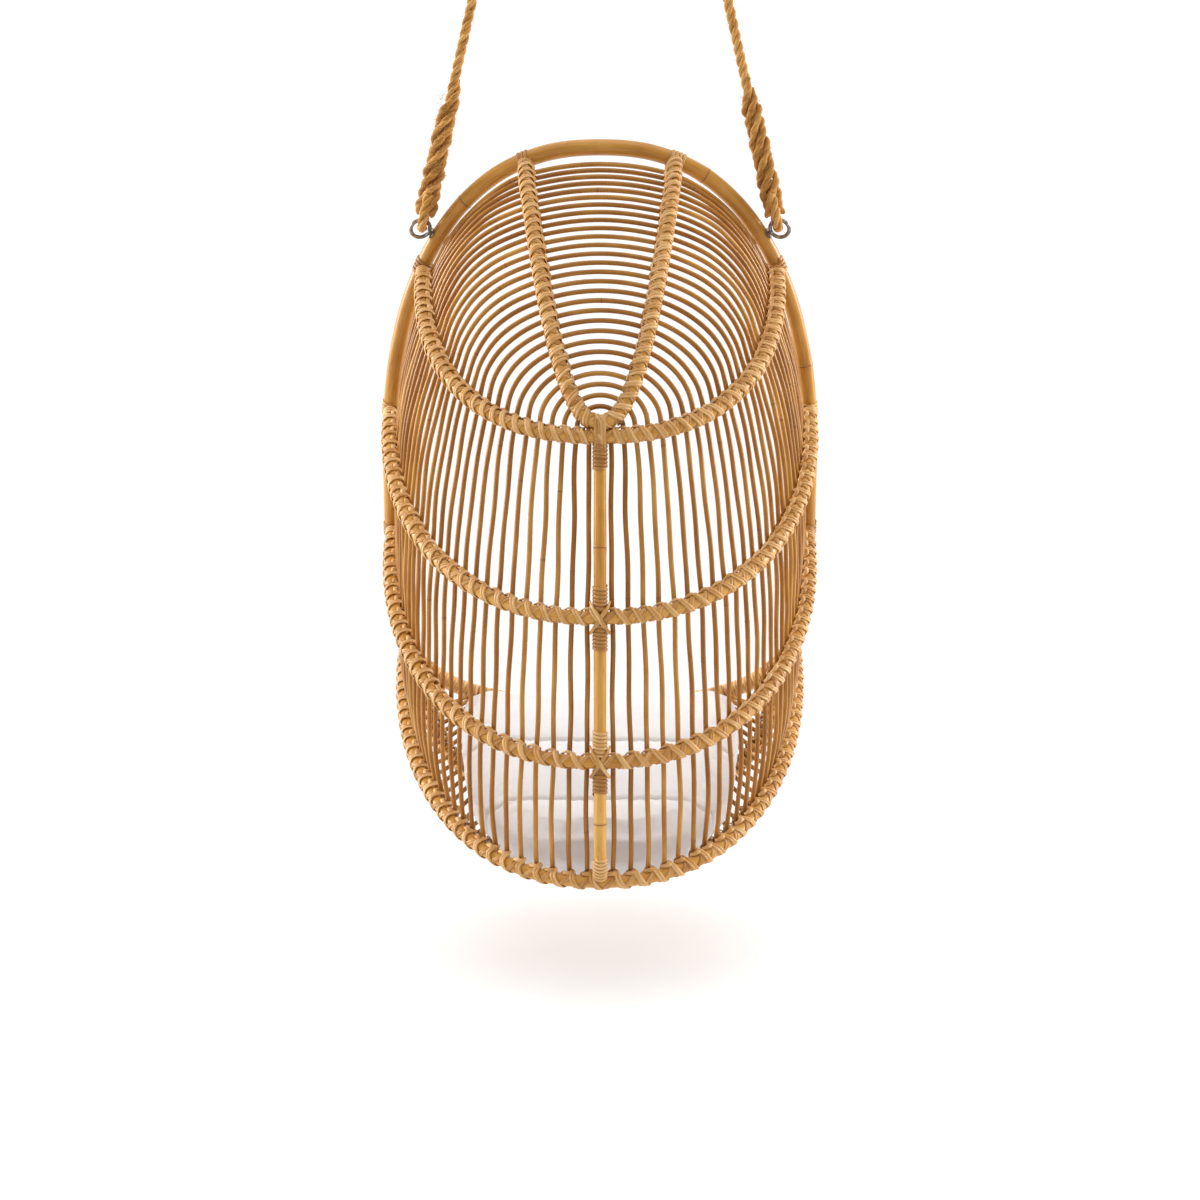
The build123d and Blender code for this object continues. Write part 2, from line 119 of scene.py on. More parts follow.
# Ropes
ROPE_DIAMETER = 0.0165
STRANDS = 3
ROPE_LAY = 0.054            # one full turn of a strand
SPLICE_TOP = 0.238
SPLICE_STRANDS = 4

# Peel
PEEL_WIDTH = 0.0050
PEEL_THICKNESS = 0.0018
COIL_WIDTH = 0.0054
COIL_PITCH = 0.0060

# Camera and floor
CAMERA_BACK = 4.0945        # behind the rim's lowest point
CAMERA_HEIGHT = -0.526
CAMERA_PITCH = 10.0
CAMERA_LENS = 66.24
FLOOR_HEIGHT = -1.807


# ---------------------------------------------------------------- the shell

def rim_half(height):
    if height >= RIM_UPPER_START:
        share = (height - RIM_UPPER_START) / (RIM_HEIGHT - RIM_UPPER_START)
        power = RIM_UPPER_POWER
    else:
        share = max(0.0, (RIM_LOWER_END - height) / RIM_LOWER_END)
        power = RIM_LOWER_POWER
    return RIM_HALF * max(0.0, 1.0 - min(1.0, share) ** power) ** (1.0 / power)


def place(x, back, rise):
    return np.array((x, back - ROPE_DEPTH, rise - HANG_HEIGHT))


def on_rim(x, height):
    return place(x, height * math.sin(RIM_LEAN), height * math.cos(RIM_LEAN))


def unit(vector):
    return vector / max(np.linalg.norm(vector), 1e-12)


def mirrored(points):
    return np.asarray(points) * (-1.0, 1.0, 1.0)


def read_at(marks, run, values):
    """Rows of values read at marks along their run."""
    return np.stack([np.interp(marks, run, values[:, axis]) for axis in range(3)], axis=-1)


BEHIND_RIM = np.array((0.0, math.cos(RIM_LEAN), -math.sin(RIM_LEAN)))
MIDDLE = place(0.0, *INSIDE)


def section_curve(section):
    """Points of one half of a shell section, from its middle out to the rim."""
    height, back, rise, power = section
    half = rim_half(height)
    end_back = height * math.sin(RIM_LEAN)
    end_rise = height * math.cos(RIM_LEAN)
    points = []
    for step in range(SECTION_STEPS + 1):
        angle = 0.5 * math.pi * step / SECTION_STEPS
        x = half * math.sin(angle) ** (2.0 / power)
        if section is LIP:
            share = 1.0 - (1.0 - (x / RIM_HALF) ** RIM_LOWER_POWER) ** (1.0 / RIM_LOWER_POWER)
            points.append(on_rim(x, RIM_LOWER_END * share))
        else:
            depth = max(0.0, math.cos(angle)) ** (2.0 / power)
            y = end_back + (back - end_back) * depth
            z = end_rise + (rise - end_rise) * depth
            points.append(place(x, y, z))
    return np.array(points)


def hood_section(share):
    """The section that crosses the hood's middle line at a share of its length."""
    top_back = RIM_HEIGHT * math.sin(RIM_LEAN)
    top_rise = RIM_HEIGHT * math.cos(RIM_LEAN)
    chord = math.hypot(top_back - APEX_BACK, top_rise - APEX_RISE)
    along_back = (top_back - APEX_BACK) / chord
    along_rise = (top_rise - APEX_RISE) / chord
    half_turn = 2.0 * math.atan(2.0 * HOOD_BULGE / chord)
    radius = 0.5 * chord / math.sin(half_turn)
    turn = (2.0 * share - 1.0) * half_turn
    forward = 0.5 * chord + radius * math.sin(turn)
    outward = radius * (math.cos(turn) - math.cos(half_turn))
    back = APEX_BACK + forward * along_back + outward * along_rise
    rise = APEX_RISE + forward * along_rise - outward * along_back
    height = CROWN[0] + (RIM_HEIGHT - CROWN[0]) * share
    return (height, back, rise, CROWN[3] + (HOOD_TOP_POWER - CROWN[3]) * share)


def lengths(points):
    steps = np.linalg.norm(np.diff(points, axis=0), axis=1)
    return np.concatenate(([0.0], np.cumsum(steps)))


def along(points, share):
    """The point at a share of a polyline's length."""
    run = lengths(points)
    return read_at(share * run[-1], run, points)


def back_share(number, curve):
    spread = 1.0 - RIM_MARGIN / lengths(curve)[-1]
    return (number - ROD_START) / (ROD_COUNT - ROD_START) * spread


SECTION_CURVES = [section_curve(section) for section in SECTIONS]
LAST_STATION = len(SECTIONS) + HOOD_STEPS - 1


def shell_point(station, number):
    """Where rod number passes a station of its path, on the shell's middle surface."""
    if station < len(SECTIONS):
        curve = SECTION_CURVES[station]
        return along(curve, back_share(number, curve))
    angle = 0.5 * math.pi * (station - len(SECTIONS) + 1) / HOOD_STEPS
    low = back_share(number, SECTION_CURVES[-1])
    high = (number - HOOD_START) / (ROD_COUNT + HOOD_SPARE)
    reach = low * math.cos(angle) ** 2 + high * math.sin(angle) ** 2
    up = high * math.sin(angle)
    across = math.sqrt(max(0.0, reach * reach - up * up) / (1.0 - up * up))
    if station == LAST_STATION:
        across = 0.0
    return along(section_curve(hood_section(up)), across)


def inward(station, number):
    before = shell_point(max(0, station - 1), number)
    after = mirrored(before) if station == LAST_STATION else shell_point(station + 1, number)
    outer = shell_point(station, number + 0.25)
    inner = shell_point(station, number - 0.25)
    normal = unit(np.cross(after - before, outer - inner))
    if normal @ (MIDDLE - shell_point(station, number)) < 0.0:
        normal = -normal
    return normal


# ---------------------------------------------------------------- lines

def smooth(points, spacing):
    """Evenly spaced points on a smooth curve through the points."""
    points = np.asarray(points, float)
    run = lengths(points)
    gap = np.diff(run)
    slope = np.diff(points, axis=0) / gap[:, None]
    inner = (slope[:-1] * gap[1:, None] + slope[1:] * gap[:-1, None]) / (gap[:-1] + gap[1:])[:, None]
    ends = (1.5 * slope[0] - 0.5 * inner[0], 1.5 * slope[-1] - 0.5 * inner[-1])
    tangent = np.vstack((ends[0], inner, ends[1]))
    dense = []
    t = np.linspace(0.0, 1.0, 17)[:-1, None]
    for index, width in enumerate(gap):
        start, stop = points[index], points[index + 1]
        dense.append(
            (2 * t ** 3 - 3 * t ** 2 + 1) * start + (t ** 3 - 2 * t ** 2 + t) * width * tangent[index]
            + (3 * t ** 2 - 2 * t ** 3) * stop + (t ** 3 - t ** 2) * width * tangent[index + 1]
        )
    dense = np.vstack(dense + [points[-1:]])
    return resampled(dense, spacing)


def resampled(points, spacing, extra=()):
    """Points at an even spacing along a line, and at extra distances along it."""
    run = lengths(points)
    marks = np.linspace(0.0, run[-1], max(2, int(round(run[-1] / spacing)) + 1))
    marks = np.unique(np.concatenate((marks, [s for s in extra if 0.0 < s < run[-1]])))
    return read_at(marks, run, points)


def tangents(line):
    return np.array([unit(vector) for vector in np.gradient(line, axis=0)])


def turned(angle, first, second):
    """Directions at angles from the first towards the second."""
    return np.cos(angle)[:, None] * first + np.sin(angle)[:, None] * second


def carried_frames(line, start):
    """Two directions across a line at each point, carried along it without twist."""
    forward = tangents(line)
    first = []
    current = np.asarray(start, float)
    for tangent in forward:
        current = unit(current - tangent * (current @ tangent))
        first.append(current)
    first = np.array(first)
    return first, np.cross(forward, first)


class Line:
    """A line that gives its point, direction and outward side at any distance along it."""

    def __init__(self, points, outward):
        self.points = points
        self.run = lengths(points)
        self.length = self.run[-1]
        self.forward = tangents(points)
        self.outward = np.array([unit(o - t * (o @ t)) for o, t in zip(outward, self.forward)])

    def at(self, distance):
        """Point, direction, outward side and the third direction."""
        forward = unit(read_at(distance, self.run, self.forward))
        outward = read_at(distance, self.run, self.outward)
        outward = unit(outward - forward * (outward @ forward))
        return read_at(distance, self.run, self.points), forward, outward, np.cross(outward, forward)


def outward_from_middle(points):
    return np.array([unit(point - MIDDLE) for point in points])


def facing_out(points):
    return Line(points, outward_from_middle(points))


# ---------------------------------------------------------------- meshes

def add_object(name, data):
    added = bpy.data.objects.new(name, data)
    bpy.context.scene.collection.objects.link(added)
    return added


def vertices(mesh):
    values = np.zeros(len(mesh.vertices) * 3, np.float32)
    mesh.vertices.foreach_get("co", values)
    return values.reshape(-1, 3).astype(float)


def write_marks(mesh, label, values):
    attribute = mesh.attributes.new(label, "FLOAT", "POINT")
    attribute.data.foreach_set("value", values.astype(np.float32))


class Builder:
    """Collects lofted rings into one mesh that carries grain, tone and mark for its material."""

    def __init__(self):
        self.points = []
        self.faces = []
        self.grain = []
        self.tone = []
        self.mark = []
        self.count = 0

    def loft(self, rings, run, grain_radius, tone, mark=None, twist=0.0):
        """rings is an array of rings, rows of points; run is the distance along at each ring."""
        rings = np.asarray(rings, float)
        rows, sides = rings.shape[:2]
        middle = rings.mean(axis=1)
        ring_area = sum(
            np.cross(rings[1, side] - middle[1], rings[1, (side + 1) % sides] - middle[1])
            for side in range(sides)
        )
        if ring_area @ (middle[2 if rows > 2 else 1] - middle[0]) < 0.0:
            rings = rings[:, ::-1]
        base = self.count
        for row in range(rows - 1):
            low = base + row * sides
            high = low + sides
            for side in range(sides):
                following = (side + 1) % sides
                self.faces.append((low + side, low + following, high + following, high + side))
        self.faces.append(tuple(base + side for side in reversed(range(sides))))
        self.faces.append(tuple(base + (rows - 1) * sides + side for side in range(sides)))
        self.points.append(rings.reshape(-1, 3))
        angles = math.tau * np.arange(sides) / sides
        for row in range(rows):
            angle = angles + twist * run[row]
            self.grain.append(np.stack((
                np.full(sides, run[row]), grain_radius * np.cos(angle), grain_radius * np.sin(angle),
            ), axis=1))
            self.mark.append(np.full(sides, 0.0 if mark is None else mark[row]))
        self.tone.append(np.full(rows * sides, tone))
        self.count += rows * sides

    def mesh(self, name):
        mesh = bpy.data.meshes.new(name)
        mesh.from_pydata(np.vstack(self.points).tolist(), [], self.faces)
        return mesh

    def finish(self, name, material, body, slot, replaces=()):
        mesh = self.mesh(name)
        grain = mesh.attributes.new("grain", "FLOAT_VECTOR", "POINT")
        grain.data.foreach_set("vector", np.vstack(self.grain).astype(np.float32).ravel())
        write_marks(mesh, "tone", np.concatenate(self.tone))
        write_marks(mesh, "mark", np.concatenate(self.mark))
        mesh.shade_smooth()
        mesh.materials.append(material)
        piece = add_object(name, mesh)
        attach(piece, body)
        if replaces:
            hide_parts(*replaces)
        return piece


def tube_rings(line, radii, sides, start):
    first, second = carried_frames(line, start)
    spokes = turned(math.tau * np.arange(sides) / sides, first[:, None], second[:, None])
    return line[:, None] + spokes * np.asarray(radii)[:, None, None]


# Outline of a half-round strip: across and up, as shares of its width and thickness
STRIP_OUTLINE = np.array([
    (-0.50, 0.05), (-0.44, 0.50), (-0.25, 0.86), (0.0, 1.0), (0.25, 0.86), (0.44, 0.50), (0.50, 0.05),
    (0.30, -0.12), (-0.30, -0.12),
])
STRIP_SPACING = 0.0025
COIL_STEPS = 22             # to a turn
COIL_UNEVENNESS = 0.00012


def strip(builder, line, up, width, thickness, tone):
    """A half-round strip of peel along a line, its flat side down."""
    forward = tangents(line)
    side = np.array([unit(np.cross(t, u)) for t, u in zip(forward, up)])
    over = np.cross(side, forward)
    across = STRIP_OUTLINE[:, 0][None, :, None] * side[:, None] * width
    rise = STRIP_OUTLINE[:, 1][None, :, None] * over[:, None] * thickness
    rings = line[:, None] + across + rise
    run = lengths(line) + tone * 3.0
    builder.loft(rings, run, 0.5 * width, tone)


def strip_through(builder, knots, ups, width, thickness, tone):
    """A strip on a smooth curve through the knots, its upper side turned by the ups."""
    line = smooth(knots, STRIP_SPACING)
    run = lengths(np.asarray(knots))
    marks = lengths(line) / lengths(line)[-1] * run[-1]
    strip(builder, line, read_at(marks, run, np.asarray(ups)), width, thickness, tone)


def coil(builder, line, start, stop, pitch, radius, width, thickness, rng, first_angle=0.0):
    """A strip wound round a line from one distance to another."""
    turns = (stop - start) / pitch
    count = max(8, int(turns * COIL_STEPS))
    points, ups = [], []
    for step in range(count + 1):
        share = step / count
        point, _, outward, third = line.at(start + (stop - start) * share)
        angle = first_angle + math.tau * turns * share
        spoke = outward * math.cos(angle) + third * math.sin(angle)
        points.append(point + spoke * (radius + COIL_UNEVENNESS * math.sin(7.0 * angle + first_angle)))
        ups.append(spoke)
    strip(builder, np.array(points), np.array(ups), width, thickness, rng.random())


# ---------------------------------------------------------------- materials

class Nodes:
    """A material with a few helpers for wiring its nodes."""

    def __init__(self, name):
        self.material = bpy.data.materials.new(name)
        self.material.use_nodes = True
        self.tree = self.material.node_tree

    def put(self, socket, value):
        """Wires an output to a socket, or sets the socket's own value."""
        if isinstance(value, bpy.types.NodeSocket):
            self.tree.links.new(value, socket)
        else:
            socket.default_value = value

    def fill(self, node, inputs):
        for name, value in inputs.items():
            self.put(node.inputs[name.replace("_", " ")], value)
        return node

    def add(self, kind, **inputs):
        return self.fill(self.tree.nodes.new(kind), inputs)

    def surface(self, **inputs):
        """Fills the shader's sockets and gives the material."""
        self.fill(self.tree.nodes["Principled BSDF"], inputs)
        return self.material

    def attribute(self, name, output="Fac"):
        node = self.add("ShaderNodeAttribute")
        node.attribute_name = name
        return node.outputs[output]

    def spot(self):
        return self.add("ShaderNodeTexCoord").outputs["Object"]

    def stretched(self, vector, scale):
        return self.add("ShaderNodeMapping", Vector=vector, Scale=scale).outputs["Vector"]

    def noise(self, vector, scale, detail, roughness=0.55):
        node = self.add("ShaderNodeTexNoise", Vector=vector, Scale=scale, Detail=detail, Roughness=roughness)
        return node.outputs["Fac"]

    def streaks(self, vector, scale, detail, roughness=0.55):
        """Noise with a scale of its own along each axis."""
        return self.noise(self.stretched(vector, scale), 1.0, detail, roughness)

    def ramp(self, value, stops):
        node = self.add("ShaderNodeValToRGB", Fac=value)
        ramp = node.color_ramp
        for element, (position, colour) in zip(ramp.elements, (stops[0], stops[-1])):
            element.position, element.color = position, (*colour, 1.0)
        for position, colour in stops[1:-1]:
            ramp.elements.new(position).color = (*colour, 1.0)
        return node.outputs["Color"]

    def range(self, value, low, high, to_low=0.0, to_high=1.0):
        node = self.add(
            "ShaderNodeMapRange", Value=value, From_Min=low, From_Max=high, To_Min=to_low, To_Max=to_high)
        return node.outputs["Result"]

    def maths(self, operation, *values):
        node = self.add("ShaderNodeMath")
        node.operation = operation
        for socket, value in zip(node.inputs, values):
            self.put(socket, value)
        return node.outputs["Value"]

    def weighted(self, *parts):
        """The sum of values, each times its weight."""
        total, *rest = [self.maths("MULTIPLY", value, weight) for value, weight in parts]
        for part in rest:
            total = self.maths("ADD", total, part)
        return total

    def mix(self, share, under, over):
        """A colour laid over a colour output by a share."""
        node = self.add("ShaderNodeMix")
        node.data_type = "RGBA"
        for index, value in ((0, share), (6, under), (7, (*over, 1.0))):
            self.put(node.inputs[index], value)
        return node.outputs[2]

    def bump(self, height, strength, distance, **below):
        node = self.add("ShaderNodeBump", Height=height, Strength=strength, Distance=distance, **below)
        return node.outputs["Normal"]


JOINT_STAIN = (0.22, 0.075, 0.018)
PEEL_COLOURS = [(0.28, (0.24, 0.088, 0.014)), (0.50, (0.51, 0.245, 0.060)), (0.76, (0.78, 0.510, 0.23))]
STEEL_COLOURS = [(0.30, (0.10, 0.085, 0.075)), (0.50, (0.27, 0.245, 0.22)), (0.72, (0.58, 0.54, 0.50))]
CLOTH_COLOURS = [(0.30, (0.71, 0.72, 0.735)), (0.55, (0.76, 0.77, 0.785)), (0.75, (0.80, 0.81, 0.82))]
# painted shade: the grey laid into the cloth along the bottom of each sewn groove
SEAM_SHADE_COLOUR = (0.56, 0.52, 0.52)
THREADS_PER_METRE = 950.0


def rattan(name, light, middle, dark, roughness, coat):
    """Lacquered rattan: long fibres, cloudy patches, and darker rings at the joints of the cane."""
    nodes = Nodes(name)
    grain = nodes.attribute("grain", "Vector")
    fibre = nodes.streaks(grain, (9.0, 900.0, 900.0), 4.0, 0.6)
    cloud = nodes.streaks(grain, (14.0, 60.0, 60.0), 2.0)
    patch = nodes.noise(nodes.spot(), 9.0, 2.0)
    blend = nodes.weighted((fibre, 0.34), (cloud, 0.40), (patch, 0.18), (nodes.attribute("tone"), 0.16))
    colour = nodes.ramp(blend, [(0.30, dark), (0.52, middle), (0.74, light)])
    fleck = nodes.range(nodes.streaks(grain, (60.0, 420.0, 420.0), 1.0), 0.70, 0.80, 0.0, 0.45)
    colour = nodes.mix(fleck, colour, tuple(0.45 * channel for channel in dark))
    stain = nodes.range(nodes.weighted((nodes.attribute("mark"), 1.0), (cloud, 0.3)), 0.45, 1.15)
    return nodes.surface(
        Base_Color=nodes.mix(stain, colour, JOINT_STAIN),
        Roughness=nodes.range(cloud, 0.3, 0.75, roughness - 0.07, roughness + 0.09),
        Coat_Weight=coat, Coat_Roughness=0.18, Specular_IOR_Level=0.25,
        Normal=nodes.bump(cloud, 0.30, 0.0010, Normal=nodes.bump(fibre, 0.35, 0.0003)),
    )


def peel():
    """Split cane peel: pale and slightly waxy, with long brown fibres."""
    nodes = Nodes("peel")
    grain = nodes.attribute("grain", "Vector")
    fibre = nodes.streaks(grain, (22.0, 1500.0, 1500.0), 3.0, 0.6)
    cloud = nodes.streaks(grain, (45.0, 200.0, 200.0), 2.0)
    blend = nodes.weighted((fibre, 0.45), (cloud, 0.25), (nodes.attribute("tone"), 0.34))
    return nodes.surface(
        Base_Color=nodes.ramp(blend, PEEL_COLOURS), Roughness=nodes.range(cloud, 0.3, 0.7, 0.34, 0.52),
        Specular_IOR_Level=0.3, Coat_Weight=0.1, Coat_Roughness=0.25, Normal=nodes.bump(fibre, 0.5, 0.0003),
    )


def hemp(name, light, middle, dark):
    """Twisted natural fibre: fine yarns along each strand, dull and slightly hairy."""
    nodes = Nodes(name)
    grain = nodes.attribute("grain", "Vector")
    yarn = nodes.streaks(grain, (30.0, 900.0, 900.0), 3.0, 0.65)
    tuft = nodes.streaks(grain, (120.0, 420.0, 420.0), 2.0)
    blend = nodes.weighted((yarn, 0.62), (tuft, 0.26), (nodes.attribute("tone"), 0.14))
    return nodes.surface(
        Base_Color=nodes.ramp(blend, [(0.32, dark), (0.50, middle), (0.70, light)]),
        Roughness=nodes.range(tuft, 0.3, 0.7, 0.68, 0.90), Specular_IOR_Level=0.2,
        Sheen_Weight=0.08, Sheen_Roughness=0.5,
        Normal=nodes.bump(yarn, 0.9, 0.0009, Normal=nodes.bump(tuft, 0.6, 0.0008)),
    )


def steel():
    """Darkened steel with rubbed, lighter patches."""
    nodes = Nodes("dark_steel")
    spot = nodes.spot()
    wear = nodes.noise(spot, 180.0, 4.0, 0.6)
    scratch = nodes.streaks(spot, (900.0, 300.0, 1400.0), 2.0)
    return nodes.surface(
        Base_Color=nodes.ramp(wear, STEEL_COLOURS), Metallic=1.0,
        Roughness=nodes.range(wear, 0.3, 0.7, 0.48, 0.26), Normal=nodes.bump(scratch, 0.25, 0.0002),
    )


def canvas():
    """Off-white woven cover: a plain weave of fine threads with slight slubs, and painted shade along the sewn
    grooves.
    """
    nodes = Nodes("cushion_cloth")
    spot = nodes.spot()
    threads = []
    for scale in np.eye(3) * THREADS_PER_METRE:
        along_axis = nodes.stretched(spot, tuple(scale))
        wave = nodes.add("ShaderNodeTexWave", Vector=along_axis, Scale=0.5, Distortion=0.6, Detail=1.0)
        wave.bands_direction = "DIAGONAL"
        threads.append(wave.outputs["Fac"])
    weave = nodes.maths("MAXIMUM", nodes.maths("MULTIPLY", threads[0], threads[1]), threads[2])
    slub = nodes.streaks(spot, (30.0, 400.0, 90.0), 2.0)
    blend = nodes.weighted((slub, 0.5), (nodes.noise(spot, 7.0, 3.0), 0.5))
    # painted shade: the cloth is pulled towards a grey along the bottom of each sewn groove, by the seam mark
    seam = nodes.maths("MULTIPLY", nodes.attribute("seam"), 0.35)
    return nodes.surface(
        Base_Color=nodes.mix(seam, nodes.ramp(blend, CLOTH_COLOURS), SEAM_SHADE_COLOUR),
        Roughness=nodes.range(slub, 0.3, 0.7, 0.74, 0.90), Sheen_Weight=0.3, Sheen_Roughness=0.4,
        Normal=nodes.bump(weave, 0.30, 0.00025, Normal=nodes.bump(slub, 0.25, 0.0006)),
    )


POLE = rattan("rattan_pole", (0.72, 0.410, 0.105), (0.55, 0.260, 0.042), (0.34, 0.132, 0.012), 0.32, 0.20)
ROD = rattan("rattan_rod", (0.56, 0.292, 0.056), (0.36, 0.143, 0.014), (0.215, 0.072, 0.005), 0.30, 0.16)
PEEL = peel()
ROPE = hemp("hemp", (0.80, 0.470, 0.165), (0.49, 0.230, 0.048), (0.13, 0.042, 0.004))
TWINE = hemp("twine", (0.72, 0.43, 0.16), (0.48, 0.24, 0.06), (0.18, 0.065, 0.010))
STEEL = steel()
CLOTH = canvas()


# ---------------------------------------------------------------- ropes

def rope_axis(side):
    return np.array((-side * math.sin(ROPE_LEAN), 0.0, math.cos(ROPE_LEAN)))


def by_rope(side, foot, behind, up, sideways=0.0):
    """A point given behind a foot point, up along the leaning rope, and sideways from it."""
    across, _, lift = rope_axis(side)
    return foot + np.array((across * up, behind, lift * up)) + sideways * np.array((lift, 0.0, -across))


THIMBLE_HALF = 0.16631
ROPE_DROP = 0.54160
BEARING_HALF = THIMBLE_HALF + ROPE_DROP * math.tan(ROPE_LEAN)
# Each route's knots: distance behind the rope's line, and height along it
EYE_ROUTE = [
    (0.0130, 0.042), (0.0184, 0.024), (0.0184, -0.013), (-0.0184, -0.013), (-0.0184, 0.024), (0.0, 0.072),
    (0.0, 0.130),
]
THIMBLE_ROUTE = [
    (0.0, -0.160), (0.0, -0.098), (-0.0235, -0.021), (-0.0235, 0.023), (0.0235, 0.023), (0.0235, -0.021),
    (0.0210, -0.050), (0.0160, -0.082),
]


ROPE_SPACING = 0.0024
ROPE_START = (0.0, 0.3, 1.0)    # the direction that each rope's cross-section starts from
STRAND_PLUMPNESS = 1.05
YARN_TWIST = -130.0

FIBRE_RADIUS = 0.00016
FIBRE_SHORTEST = 0.003
EYE_ROWS = 70               # rows of the rope's line with no stray fibres, beside the steel
BARE_HEIGHT = 0.05

# Each list of heights or shares is followed by the values there
SPLICE_FOOT = 0.009
SPLICE_STEP = 0.017         # each strand ends this far below the last
SPLICE_LAY = 0.118
SPLICE_SWELL = 0.0011
SPLICE_RADIUS = 0.0061
SPLICE_TAPER = ((0.0, 0.02, 0.06, 0.88, 1.0), (0.70, 0.94, 1.0, 0.92, 0.36))
SPLICE_REACH = ((0.009, 0.02, 0.05, 0.09, 0.20, 0.24), (0.0118, 0.0130, 0.0135, 0.0120, 0.0112, 0.0080))
PLY_LAY = 0.045

TWINE_RADIUS = 0.0012
SEIZING_TURNS = 11
SEIZING_STEPS = 40
SEIZING_FOOT = ROPE_DROP / math.cos(ROPE_LEAN) - 0.078 + TWINE_RADIUS
SEIZING_HEIGHT = 0.0236
SEIZING_REACH = 0.0102
SEIZING_FLAT = 0.0115       # half the straight part beside the two lines of rope
SEIZING_CENTRE = 0.004


def eye_foot(side):
    return np.array((side * BEARING_HALF, 0.0, -ROPE_DROP))


def rope_spline(side):
    """Points read from the smooth spline that the rope follows."""
    top = np.array((side * THIMBLE_HALF, 0.0, 0.0))
    corners = [by_rope(side, eye_foot(side), *knot) for knot in EYE_ROUTE]
    corners += [by_rope(side, top, *knot) for knot in THIMBLE_ROUTE]
    curve = bpy.data.curves.new("rope_line", "CURVE")
    curve.dimensions = "3D"
    curve.resolution_u = 24
    spline = curve.splines.new("NURBS")
    spline.points.add(len(corners) - 1)
    for point, corner in zip(spline.points, corners):
        point.co = (*corner, 1.0)
    spline.order_u = 3
    spline.use_endpoint_u = True
    holder = add_object("rope_line", curve)
    mesh = bpy.data.meshes.new_from_object(holder)
    line = vertices(mesh)
    bpy.data.objects.remove(holder)
    bpy.data.meshes.remove(mesh)
    return resampled(line, ROPE_SPACING)


def laid_strands(builder, line, rng):
    """Strands wound round a line, each a plump tube, as in a laid rope."""
    reach = math.sin(math.pi / STRANDS)
    strand = ROPE_DIAMETER / (2.0 * (1.0 + 1.0 / reach))
    run = lengths(line)
    first, second = carried_frames(line, ROPE_START)
    for index in range(STRANDS):
        angle = math.tau * index / STRANDS + math.tau * run / ROPE_LAY
        centre = line + strand / reach * turned(angle, first, second)
        wobble = 1.0 + 0.05 * np.sin(run * 310.0 + rng.random() * 6.0) + 0.03 * np.sin(run * 770.0 + index)
        rings = tube_rings(centre, STRAND_PLUMPNESS * strand * wobble, 10, ROPE_START)
        builder.loft(rings, run, strand, rng.random(), twist=YARN_TWIST)


def any_way(rng):
    return np.array([rng.uniform(-0.5, 0.5) for _ in range(3)])


def fuzz(builder, line, radius, count, rng, longest):
    """Stray fibres that stand off a rope."""
    run = lengths(line)
    first, second = carried_frames(line, ROPE_START)
    forward = tangents(line)
    for _ in range(count):
        index = rng.randrange(2, len(line) - 2)
        angle = rng.random() * math.tau
        spoke = math.cos(angle) * first[index] + math.sin(angle) * second[index]
        lean = forward[index] * rng.uniform(-1.6, 1.6) + any_way(rng)
        length = longest * rng.random() ** 2 + FIBRE_SHORTEST
        start = line[index] + spoke * radius * 0.85
        bend = any_way(rng)
        hair = np.array([
            start + length * share * unit(spoke + 0.8 * lean) + length * share * share * 0.6 * bend
            for share in (0.0, 0.25, 0.5, 0.75, 1.0)
        ])
        radii = FIBRE_RADIUS * np.array((1.0, 0.95, 0.85, 0.7, 0.35))
        rings = tube_rings(hair, radii, 3, spoke + 0.1 * lean)
        builder.loft(rings, run[index] + lengths(hair), 0.001, rng.random())


def splice_strands(builder, side, rng):
    """Fat tucked strands laid round the doubled rope above the eye, ending one after another."""
    axis = rope_axis(side)
    first = unit(np.cross(axis, BACK))
    second = np.cross(axis, first)
    for index in range(SPLICE_STRANDS):
        top = SPLICE_TOP - SPLICE_STEP * index
        heights = np.arange(SPLICE_FOOT, top, ROPE_SPACING)
        share = (heights - heights[0]) / (heights[-1] - heights[0])
        phase = math.tau * index / SPLICE_STRANDS
        angle = phase + side * 0.6 + math.tau * heights / SPLICE_LAY
        swell = SPLICE_SWELL * np.sin(math.tau * heights / (0.25 * SPLICE_LAY) + phase * 2.0)
        fatness = SPLICE_RADIUS * np.interp(share, *SPLICE_TAPER)
        spread = (np.interp(heights, *SPLICE_REACH) + swell)[:, None] * turned(angle, first, second)
        centre = eye_foot(side) + heights[:, None] * axis + spread
        run = lengths(centre)
        one, two = carried_frames(centre, first)
        for ply in range(2):
            turn = math.pi * ply + math.tau * run / PLY_LAY
            ply_centre = centre + 0.30 * fatness[:, None] * turned(turn, one, two)
            rings = tube_rings(ply_centre, 0.74 * fatness, 12, first)
            builder.loft(rings, run, 0.005, rng.random(), twist=-90.0)


def seizing_turns(builder, side):
    """Twine wound round the rope and its tail below the thimble."""
    points = []
    for step in range(SEIZING_TURNS * SEIZING_STEPS):
        angle = math.tau * step / SEIZING_STEPS
        up = SEIZING_FOOT + SEIZING_HEIGHT * step / (SEIZING_TURNS * SEIZING_STEPS)
        behind = math.copysign(SEIZING_FLAT, math.cos(angle)) * min(1.0, abs(math.cos(angle)) * 3.0)
        behind += SEIZING_CENTRE + SEIZING_REACH * math.cos(angle)
        points.append(by_rope(side, eye_foot(side), behind, up, SEIZING_REACH * math.sin(angle)))
    line = np.array(points)
    builder.loft(tube_rings(line, np.full(len(line), TWINE_RADIUS), 8, UP), lengths(line), 0.001, 0.6)


